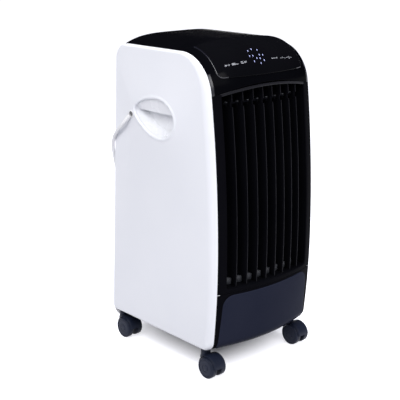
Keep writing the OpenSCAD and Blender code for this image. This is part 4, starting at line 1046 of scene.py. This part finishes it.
# upright vanes with rounded edges, pivot collars and tie pins
vanes = {
    "count": 8, "pitch": 22.3, "thick": 1.8, "setback": 30.0, "inset": 4.5, "tail": 14.0,
    "tailRound": 0.5, "tailShare": 0.75, "low": 173.2, "high": 522.55, "tieZ": 494.75, "notch": 4.7,
    "tieBack": 6.0, "frontNotch": 3.4, "bossRadius": 7.5, "bossTop": 184.0, "footGap": 4.0,
    "endGap": 1.2, "pivot": 2.0, "chamfer": 0.3, "lead": 4, "leadPin": 8.0, "footSeat": 184.4,
    "headSeat": 523.4, "headEnd": 526.0,
    "footCollar": ((3.2, 184.5), (3.2, 186.4), (2.4, 188), (2.1, 196), (0.5, 198)),
    "headCollar": ((0.5, 511), (2.1, 513), (2.4, 519.5), (3.2, 521.5), (3.2, 523.2)),
    "tieWidth": 5.0, "tieThick": 3.0, "tieEnd": 2.5, "tieChamfer": 0.5, "tieTip": 0.3,
    "tiePin": 1.2, "pinPast": 1.0, "endParts": 4, "bladeParts": 30, "noseParts": 8, "tailParts": 5,
    "edgeFaces": (2, 6), "segments": 24, "pinSegments": 18, "eyeSegments": 20, "tieParts": 60,
    "tieEye": ((0, -0.2), (2.4, -0.2), (2.4, 1.0), (1.9, 1.6), (1.25, 1.6), (1.25, 0.2), (0, 0.2)),
}
vaneNumbers = range(1, vanes["count"] + 1)


def vaneX(i):
    return (i - (vanes["count"] + 1) / 2) * vanes["pitch"]


def vaneY(x):
    return cabinet["frontY"] + vanes["setback"] - bow(x)


def vaneSection(x, front, back, z):
    r, tail = vanes["thick"] / 2, vanes["tailRound"]
    ring = arc(x, front + r, r, r, pi, 2 * pi, vanes["noseParts"])
    ring += arc(x, back - tail, r * vanes["tailShare"], tail, 0, pi, vanes["tailParts"])
    return [(u, v, z) for u, v in ring]


for i in vaneNumbers:
    x = vaneX(i)
    y = vaneY(x)
    shape = newShape()
    tail, cut = y + vanes["tail"], y + vanes["tieBack"] - vanes["notch"]
    lowCut, highCut = vanes["tieZ"] - vanes["notch"], vanes["tieZ"] + vanes["notch"]
    bladeLow, footBack = vanes["bossTop"] + vanes["endGap"], y - vanes["bossRadius"] - vanes["footGap"]
    levels = [(z, 0, footBack) for z in steps(vanes["low"], bladeLow, vanes["endParts"])]
    levels += [(z, 0, tail) for z in steps(bladeLow, lowCut, vanes["bladeParts"])]
    levels += [(z, vanes["frontNotch"], cut) for z in (lowCut, vanes["tieZ"], highCut)]
    levels += [(z, 0, tail) for z in steps(highCut, vanes["high"], vanes["endParts"])]
    edgeY = vanes["inset"] - bow(x)
    rings = [vaneSection(x, frontY(z) + edgeY + cutIn, back, z) for z, cutIn, back in levels]
    addLoft(shape, rings)
    # painted highlight: the rounded front edge faces take the lighter finish
    for k in range(len(rings) - 1):
        if levels[k][1] == levels[k + 1][1] == 0:
            for edgeFace in range(*vanes["edgeFaces"]):
                shape["finish"][k * len(rings[0]) + edgeFace] = 1
    r, bevel, end = vanes["pivot"], vanes["chamfer"], vanes["headEnd"]
    pinLow = cabinet["openZ"] - wall + gap - (vanes["leadPin"] if i == vanes["lead"] else 0)
    foot = [(0, pinLow), (r - bevel, pinLow), (r, pinLow + bevel), (r, vanes["footSeat"])]
    head = [(r, vanes["headSeat"]), (r, end - bevel), (r - bevel, end), (0, end)]
    addLathe(shape, [*foot, *vanes["footCollar"]], (x, y, 0), upward, vanes["segments"])
    addLathe(shape, [*vanes["headCollar"], *head], (x, y, 0), upward, vanes["segments"])
    r, low, high = vanes["tiePin"], lowCut - vanes["pinPast"], highCut + vanes["pinPast"]
    pin = [(0, low), (r, low), (r, high), (0, high)]
    addLathe(shape, pin, (x, y + vanes["tieBack"], 0), upward, vanes["pinSegments"])
    vane = f"vane_{i}"
    addPiece(f"uprightVane{i}", shape, ["louvreBlack", "vaneEdgeHighlight"], vane, "louvre_black", (vane,), sharp=40)

linkShape = newShape()
linkEnd = vaneX(vanes["count"]) + vanes["tieWidth"]
linkRings = []
for x in steps(-linkEnd, linkEnd, vanes["tieParts"]):
    middle = vaneY(x) + vanes["tieBack"]
    share = min(linkEnd - abs(x), vanes["tieEnd"]) / vanes["tieEnd"]
    half = max(vanes["tieWidth"] / 2 * sqrt(max(1 - (1 - share) ** 2, 0)), vanes["tieTip"])
    t, c = vanes["tieThick"] / 2, vanes["tieChamfer"]
    corners = [(-half, c - t), (-half, t - c), (c - half, t), (half - c, t)]
    corners += [(-u, -v) for u, v in corners]
    linkRings.append([(x, middle + u, vanes["tieZ"] + v) for u, v in corners])
addLoft(linkShape, linkRings)
for i in vaneNumbers:
    x = vaneX(i)
    eyePlace = (x, vaneY(x) + vanes["tieBack"], vanes["tieZ"] + vanes["tieThick"] / 2)
    addLathe(linkShape, vanes["tieEye"], eyePlace, upward, vanes["eyeSegments"], finish=1)
addPiece(
    "vaneTieBar", linkShape, ["louvreBlack", "bushGrey"], "vane_link", "louvre_black", ("vane_link",),
    sharp=40,
)
print("vanes made")


# casters: hood with its stem, twin wheels on one axle
caster = {
    "x": 110.0, "frontY": -100.5, "rearY": 141.5, "trail": 17.0, "wheel": 20.0, "hood": 22.9, "half": 13.6,
    "shell": 1.6, "web": 3.8, "webFrom": 4, "webInto": 0.2, "turn": (-20.0, 176.0),
    "hoodEdge": ((0, 1.4), (0.5, 0.6), (1.5, 0.1), (2.6, 0)),  # in from the side, in from the top
    "hub": ((0, -4.6), (5.4, -4.6), (5.8, -4.2), (5.8, 4.2), (5.4, 4.6), (0, 4.6)),
    "neck": (
        (0, 27), (5.0, 27), (10.6, 33), (9.4, 37), (9.0, 41), (9.0, 44.6), (8.4, 45), (8.4, 45.8),
        (9.0, 46.2), (9.0, 50.4), (8.4, 51.3), (5.5, 51.4), (5.5, 76.8), (4.6, 77.6), (0, 77.6),
    ),
    "tread": (
        (0, 5.2), (17.6, 5.2), (19.2, 5.5), (19.9, 6.6), (20.0, 8.0), (20.0, 14.2), (19.7, 15.4),
        (18.9, 16.3), (17.8, 16.8),
    ),
    "face": (
        (16.7, 16.8), (16.2, 15.9), (15.4, 15.9), (14.9, 16.6), (9.4, 16.9), (7.4, 16.9), (6.9, 16.2),
        (6.3, 16.2), (5.9, 16.9), (4.0, 17.2), (0, 17.2),
    ),
    "axle": ((0, -5.6), (3, -5.6), (3, 5.6), (0, 5.6)), "turnParts": 44, "segments": 56,
    "hubSegments": 28, "neckSegments": 32, "axleSegments": 24,
}


def addSweep(shape, loop, centre):
    # closed loop of (x, radius) turned part of the way round the axle
    a0, a1 = caster["turn"]
    cx, cy, cz = centre
    rings = []
    for a in steps(radians(a0), radians(a1), caster["turnParts"]):
        rings.append([(cx + x, cy + r * cos(a), cz + r * sin(a)) for x, r in loop])
    addLoft(shape, rings)


def casterHood(name, corner, stem, axle):
    shape = newShape()
    half, out, web = caster["half"], caster["hood"], caster["web"]
    inside = out - caster["shell"]
    side = [(half, inside)] + [(half - a, out - r) for a, r in caster["hoodEdge"]]
    addSweep(shape, side + [(-a, r) for a, r in reversed(side)], axle)
    low, high = caster["webFrom"], inside + caster["webInto"]
    addSweep(shape, [(web, low), (web, high), (-web, high), (-web, low)], axle)
    addLathe(shape, caster["hub"], axle, sideways, caster["hubSegments"])
    addLathe(shape, caster["neck"], stem, upward, caster["neckSegments"])
    node = f"caster_hood_{corner}"
    addPiece(
        "casterHood" + name, shape, ["casterDark"], f"caster_{corner}", "caster_plastic", (node,), sharp=42,
    )


def casterWheels(name, corner, axle):
    shape = newShape()
    segments = caster["segments"]
    for side in (-1, 1):
        addLathe(shape, caster["tread"] + caster["face"], axle, (side, 0, 0), segments)
        total = len(shape["faces"])
        for k in range(total - 2 - segments * len(caster["face"]), total):
            shape["finish"][k] = 1
    addLathe(shape, caster["axle"], axle, sideways, caster["axleSegments"], finish=2)
    materials, node = ["casterDark", "wheelFace", "brightSteel"], f"caster_wheels_{corner}"
    addPiece(
        "casterWheels" + name, shape, materials, f"wheels_{corner}", "caster_plastic", (node,), sharp=42,
    )


for corner in ("front_left", "front_right", "rear_left", "rear_right"):
    name = corner.title().replace("_", "")
    x = -caster["x"] if "left" in corner else caster["x"]
    y = caster["frontY" if "front" in corner else "rearY"]
    axle = (x, y - caster["trail"], caster["wheel"])
    casterHood(name, corner, (x, y, 0), axle)
    casterWheels(name, corner, axle)
print("casters made")


# node trees, for what repeats; their sizes are in metres
def newTree(name, sizes):
    kinds = {
        int: "NodeSocketInt", float: "NodeSocketFloat", tuple: "NodeSocketVector",
        bpy.types.Material: "NodeSocketMaterial",
    }
    tree = bpy.data.node_groups.new(name, "GeometryNodeTree")
    tree.interface.new_socket("Geometry", in_out="OUTPUT", socket_type="NodeSocketGeometry")
    for label, value in sizes.items():
        tree.interface.new_socket(label, in_out="INPUT", socket_type=kinds[type(value)])
    return tree, tree.nodes.new("NodeGroupInput").outputs


def sumNode(tree, task, first, second=0.0):
    return addNode(tree, "ShaderNodeMath", {0: first, 1: second}, operation=task)


def vectorNode(tree, **parts):
    return addNode(tree, "ShaderNodeCombineXYZ", parts)


def rowNode(tree, count, start, pitch):
    return addNode(tree, "GeometryNodeMeshLine", {"Count": count, "Start Location": start, "Offset": pitch})


def shiftNode(tree, geometry, offset):
    return addNode(tree, "GeometryNodeSetPosition", {"Geometry": geometry, "Offset": offset})


def axisNode(tree, axis):
    place = addNode(tree, "GeometryNodeInputPosition", {})
    return addNode(tree, "ShaderNodeSeparateXYZ", {0: place}).node.outputs[axis]


def boxNode(tree, wide, tall):
    return addNode(tree, "GeometryNodeCurvePrimitiveQuadrilateral", {"Width": wide, "Height": tall})


def lineNode(tree, end):
    return addNode(tree, "GeometryNodeCurvePrimitiveLine", {"End": end})


def circleNode(tree, parts, r):
    return addNode(tree, "GeometryNodeCurvePrimitiveCircle", {"Resolution": parts, "Radius": r})


def seatNode(tree, geometry, place, turn=(0, 0, 0)):
    inputs = {"Geometry": geometry, "Translation": place, "Rotation": turn}
    return addNode(tree, "GeometryNodeTransform", inputs)


def sweepNode(tree, path, section, capped=True):
    inputs = {"Curve": path, "Profile Curve": section, "Fill Caps": capped}
    return addNode(tree, "GeometryNodeCurveToMesh", inputs)


def copyNode(tree, points, one, turn=(0, 0, 0)):
    inputs = {"Points": points, "Instance": one, "Rotation": turn}
    return addNode(tree, "GeometryNodeInstanceOnPoints", inputs)


def endTree(tree, geometry, size):
    real = addNode(tree, "GeometryNodeRealizeInstances", {"Geometry": geometry})
    done = addNode(tree, "GeometryNodeSetMaterial", {"Geometry": real, "Material": size["Material"]})
    tree.links.new(done, tree.nodes.new("NodeGroupOutput").inputs[0])


def grownPiece(name, tree, sizes, body, replaced=(), sharp=40):
    piece = bpy.data.objects.new(name, bpy.data.meshes.new(name + "Start"))
    scene.collection.objects.link(piece)
    modifier = piece.modifiers.new("nodes", "NODES")
    modifier.node_group = tree
    for socket in tree.interface.items_tree:
        if socket.in_out == "INPUT":
            modifier[socket.identifier] = sizes[socket.name]
    mesh = bpy.data.meshes.new_from_object(piece.evaluated_get(bpy.context.evaluated_depsgraph_get()))
    piece.modifiers.clear()
    mesh.name = name
    mesh.polygons.foreach_set("use_smooth", [True] * len(mesh.polygons))
    mesh.set_sharp_from_angle(angle=radians(sharp))
    piece.data = mesh
    setPiece(piece, body, replaced)
    print(name, "has", len(mesh.polygons), "faces")


# grey bearing sleeves at the feet of the vanes, in the front's bow
sleeves = {
    "Count": vanes["count"], "Start": metres((vaneX(1), vaneY(seamX), 178.25)),
    "Pitch": metres((vanes["pitch"], 0.0, 0.0)), "Bow": cabinet["bow"] * mm, "Seam": seamX * mm,
    "Middle": 0.00505, "Wall": 0.0055, "Height": 0.0123, "Round": 0.0008, "RoundParts": 3,
    "Parts": 36, "Material": finishes["bushGrey"],
}
tree, size = newTree("sleeveRow", sleeves)
share = sumNode(tree, "POWER", sumNode(tree, "DIVIDE", axisNode(tree, "X"), size["Seam"]), 2.0)
forward = sumNode(tree, "MULTIPLY", sumNode(tree, "SUBTRACT", share, 1.0), size["Bow"])
row = rowNode(tree, size["Count"], size["Start"], size["Pitch"])
row = shiftNode(tree, row, vectorNode(tree, Y=forward))
loop = boxNode(tree, size["Wall"], size["Height"])
fillet = {"Curve": loop, "Radius": size["Round"], "Count": size["RoundParts"]}
loop = addNode(tree, "GeometryNodeFilletCurve", fillet, mode="POLY")
sleeve = sweepNode(tree, circleNode(tree, size["Parts"], size["Middle"]), loop, False)
endTree(tree, copyNode(tree, row, sleeve), size)
grownPiece("vaneSleeves", tree, sleeves, "cabinet")

# the rear leans, so its pieces are made upright and then set in place
rear = {"Place": (0.0, 0.1585, 0.052), "Lean": (lean, 0.0, 0.0)}
net = {
    "Wide": 0.1716, "Low": 0.13766, "Tall": 0.3292, "Pitch": 0.0032, "Wire": 0.00028, "Depth": -0.0096,
    "Sides": 5, **rear, "Material": finishes["filterMesh"],
}
tree, size = newTree("dustNet", net)
section = circleNode(tree, size["Sides"], size["Wire"])
left = sumNode(tree, "MULTIPLY", size["Wide"], -0.5)
corner = vectorNode(tree, X=left, Y=size["Depth"], Z=size["Low"])
both = addNode(tree, "GeometryNodeJoinGeometry", {})
for run, runAxis, stack, stackAxis in (("Wide", "X", "Tall", "Z"), ("Tall", "Z", "Wide", "X")):
    wire = lineNode(tree, vectorNode(tree, **{runAxis: size[run]}))
    count = sumNode(tree, "DIVIDE", size[stack], size["Pitch"])
    row = rowNode(tree, count, corner, vectorNode(tree, **{stackAxis: size["Pitch"]}))
    tree.links.new(copyNode(tree, row, sweepNode(tree, wire, section)), both.node.inputs[0])
endTree(tree, seatNode(tree, both, size["Place"], size["Lean"]), size)
grownPiece("dustNet", tree, net, "filter", ("dust_filter",))

# wet pad: wavy paper sheets side by side, each turned half round from the last
pad = {
    "Count": 27, "Start": (-0.091, -0.0234, 0.12136), "Pitch": (0.007, 0.0, 0.0), "Tall": 0.3342,
    "Depth": 0.0246, "Thick": 0.0006, "Swing": 0.0031, "Wave": 0.0132, "Parts": 204, **rear,
    "Material": finishes["padPaper"],
}
tree, size = newTree("padSheets", pad)
line = lineNode(tree, vectorNode(tree, Z=size["Tall"]))
line = addNode(tree, "GeometryNodeResampleCurve", {"Curve": line, "Count": size["Parts"]})
waves = sumNode(tree, "DIVIDE", axisNode(tree, "Z"), size["Wave"])
sway = sumNode(tree, "SINE", sumNode(tree, "MULTIPLY", waves, 2 * pi))
line = shiftNode(tree, line, vectorNode(tree, X=sumNode(tree, "MULTIPLY", sway, size["Swing"])))
sheet = sweepNode(tree, line, boxNode(tree, size["Depth"], size["Thick"]))
half = sumNode(tree, "MULTIPLY", addNode(tree, "GeometryNodeInputIndex", {}), pi)
row = rowNode(tree, size["Count"], size["Start"], size["Pitch"])
stack = copyNode(tree, row, sheet, vectorNode(tree, Z=half))
endTree(tree, seatNode(tree, stack, size["Place"], size["Lean"]), size)
grownPiece("padSheets", tree, pad, "cabinet", ("cooling_pad",))

# pan-head screws that hold the rear frame
screws = {
    "Across": 0.216, "Up": 0.469, "Columns": 2, "Rows": 4, "Middle": (0.0, 0.0, 0.2545),
    "Wide": 0.0033, "Narrow": 0.0024, "Rise": 0.0017, "Slot": (0.0036, 0.0007, 0.0014),
    "CrossSlot": (0.0007, 0.0036, 0.0014), "Sides": 24, **rear, "Material": finishes["brightSteel"],
}
tree, size = newTree("rearScrews", screws)
spread = {"Size X": "Across", "Size Y": "Up", "Vertices X": "Columns", "Vertices Y": "Rows"}
grid = addNode(tree, "GeometryNodeMeshGrid", {key: size[value] for key, value in spread.items()})
grid = seatNode(tree, grid, size["Middle"], (pi / 2, 0, 0))
cone = {"Radius Top": "Narrow", "Radius Bottom": "Wide", "Depth": "Rise", "Vertices": "Sides"}
head = addNode(tree, "GeometryNodeMeshCone", {key: size[value] for key, value in cone.items()})
head = addNode(tree, "GeometryNodeMeshBoolean", {"Mesh 1": head}, operation="DIFFERENCE")
for name in ("Slot", "CrossSlot"):
    slot = addNode(tree, "GeometryNodeMeshCube", {"Size": size[name]})
    slot = seatNode(tree, slot, vectorNode(tree, Z=size["Rise"]))
    tree.links.new(slot, head.node.inputs["Mesh 2"])
heads = copyNode(tree, grid, head, (-pi / 2, 0, 0))
endTree(tree, seatNode(tree, heads, size["Place"], size["Lean"]), size)
grownPiece("rearScrews", tree, screws, "cabinet", sharp=30)

# every node that stays takes its finish here
nodeFinish = {
    "panelWhite": ("rear_frame", "filter_panel", "distributor_tray", "pump_impeller"),
    "chassisBlack": ("base_chassis", "mid_deck", "blower_wheel", "pump_body"),
    "louvreBlack": ("louvre_box", *(name for name in nodes if name.startswith("blade_"))),
    "scrollGrey": ("scroll_left_half", "scroll_right_half", "riser_tube"),
    "brightSteel": ("motor_bracket", "fan_motor", "motor_shaft", "swing_motor"),
    "tankPlastic": ("water_tank",),
    "boardGreen": ("control_board",),
}
for finish, names in nodeFinish.items():
    for name in names:
        mesh = nodes[name].data
        mesh.materials.clear()
        mesh.materials.append(finishes[finish])
print("nodes finished")


# floor, world and lamps
stage = {
    "floorBlotch": 1.5, "floorTones": ((0.35, 0.35, 0.37), (0.38, 0.38, 0.40)), "floorRough": 0.9,
    # nearGlow, farGlow, glowReach, glowTint, footMiddle and foot paint the cooler's shadow into the floor's
    # glow
    "far": 12.0, "matte": (0.74, 0.742, 0.79), "nearGlow": 0.05, "farGlow": 0.70, "glowReach": (0.0, 0.07),
    "glowTint": (1, 1, 1.04), "footMiddle": (0.05, 0.08), "foot": (0.082, 0.124),
    "wallBlotch": 0.8, "wallTones": ((0.010, 0.010, 0.012), (0.014, 0.014, 0.017)), "wallParts": 48,
    "wallRadius": 4.2, "wallLow": 0.72, "wallHigh": 5.0,
    "world": 0.50, "worldTint": (0.95, 0.96, 1.0), "aim": (0, 0, 0.3),
}


def showSeen(tree, seen, unseen, output):
    # one shader for what the eye sees, directly, in a reflection or through something clear
    rays = tree.nodes.new("ShaderNodeLightPath").outputs
    share = rays["Is Camera Ray"]
    for ray in ("Is Glossy Ray", "Is Transmission Ray"):
        share = sumNode(tree, "MAXIMUM", share, rays[ray])
    both = addNode(tree, "ShaderNodeMixShader", {"Fac": share, 1: unseen, 2: seen})
    tree.links.new(both, tree.nodes[output].inputs["Surface"])


def stagePiece(name, points, faces, material):
    mesh = bpy.data.meshes.new(name)
    mesh.from_pydata(points, [], faces)
    mesh.materials.append(material)
    piece = bpy.data.objects.new(name, mesh)
    scene.collection.objects.link(piece)
    return piece


# the floor glows, less so close to the foot of the cooler: this paints the cooler's shadow on the floor,
# set off to the right and rear and tinted a little blue
floorFinish, tree, shader, place = newMaterial("paleFloor", stage["floorBlotch"], *stage["floorTones"])
shader.inputs["Roughness"].default_value = stage["floorRough"]
shader.inputs["Specular IOR Level"].default_value = 0.0
away = place
for task, value in (
    ("SUBTRACT", (*stage["footMiddle"], 0)), ("ABSOLUTE", (0, 0, 0)), ("SUBTRACT", (*stage["foot"], 0)),
    ("MAXIMUM", (0, 0, 0)), ("LENGTH", (0, 0, 0)),
):
    away = addNode(tree, "ShaderNodeVectorMath", {0: away, 1: value}, operation=task)
strength = rangeNode(tree, away, stage["nearGlow"], stage["farGlow"], *stage["glowReach"])
glow = addNode(tree, "ShaderNodeEmission", {"Color": (*stage["glowTint"], 1), "Strength": strength})
matte = addNode(tree, "ShaderNodeBsdfDiffuse", {"Color": (*stage["matte"], 1)})
lit = addNode(tree, "ShaderNodeAddShader", {0: matte, 1: glow})
showSeen(tree, lit, shader.outputs[0], "Material Output")
far = stage["far"]
floorPoints = [(-far, -far, 0), (far, -far, 0), (far, far, 0), (-far, far, 0)]
stagePiece("studioFloor", floorPoints, [(0, 1, 2, 3)], floorFinish)

# dark studio walls above the pale floor: only what shines reflects them
wallFinish, tree, shader, place = newMaterial("studioWall", stage["wallBlotch"], *stage["wallTones"])
shader.inputs["Specular IOR Level"].default_value = 0.0
r, n = stage["wallRadius"], stage["wallParts"]
levels = (stage["wallLow"], stage["wallHigh"])
wallPoints = [(x, y, z) for z in levels for x, y in arc(0, 0, r, r, 0, 2 * pi, n)[:-1]]
wallFaces = [(k, (k + 1) % n, n + (k + 1) % n, n + k) for k in range(n)] + [tuple(range(n, 2 * n))]
walls = stagePiece("studioWalls", wallPoints, wallFaces, wallFinish)
walls.visible_camera = walls.visible_diffuse = walls.visible_shadow = walls.visible_transmission = False

world = bpy.data.worlds.new("studio")
scene.world = world
world.use_nodes = True
tree = world.node_tree
backdrop = tree.nodes["Background"]
backdrop.inputs["Color"].default_value = (1, 1, 1, 1)
backdrop.inputs["Strength"].default_value = 1.0
dim = {"Color": (*stage["worldTint"], 1), "Strength": stage["world"]}
soft = addNode(tree, "ShaderNodeBackground", dim)
showSeen(tree, backdrop.outputs[0], soft, "World Output")

lamps = {
    "cameraKey": {"place": (-1.2, -2.1, 2.5), "size": 1.2, "power": 38},
    "frontKey": {"place": (0.25, -2.5, 2.0), "size": 1.2, "power": 24},
    "sideFill": {"place": (-1.4, -0.4, 1.7), "size": 1.0, "power": 18},
    "topSoft": {"place": (0.2, 0.35, 3.0), "size": 1.5, "power": 33, "shine": False},
    "rightFill": {"place": (1.7, 0.6, 1.5), "size": 1.2, "power": 13, "shine": False},
    "rearFill": {"place": (0.6, 2.2, 1.6), "size": 1.0, "power": 14, "shine": False},
}
for name, lamp in lamps.items():
    light = bpy.data.lights.new(name, "AREA")
    light.energy = lamp["power"]
    light.size = lamp["size"]
    holder = bpy.data.objects.new(name, light)
    holder.location = lamp["place"]
    holder.visible_glossy = lamp.get("shine", True)
    aim = Vector(stage["aim"]) - Vector(lamp["place"])
    holder.rotation_euler = aim.to_track_quat("-Z", "Y").to_euler()
    scene.collection.objects.link(holder)
scene.view_settings.view_transform = "Standard"
print("stage lit")
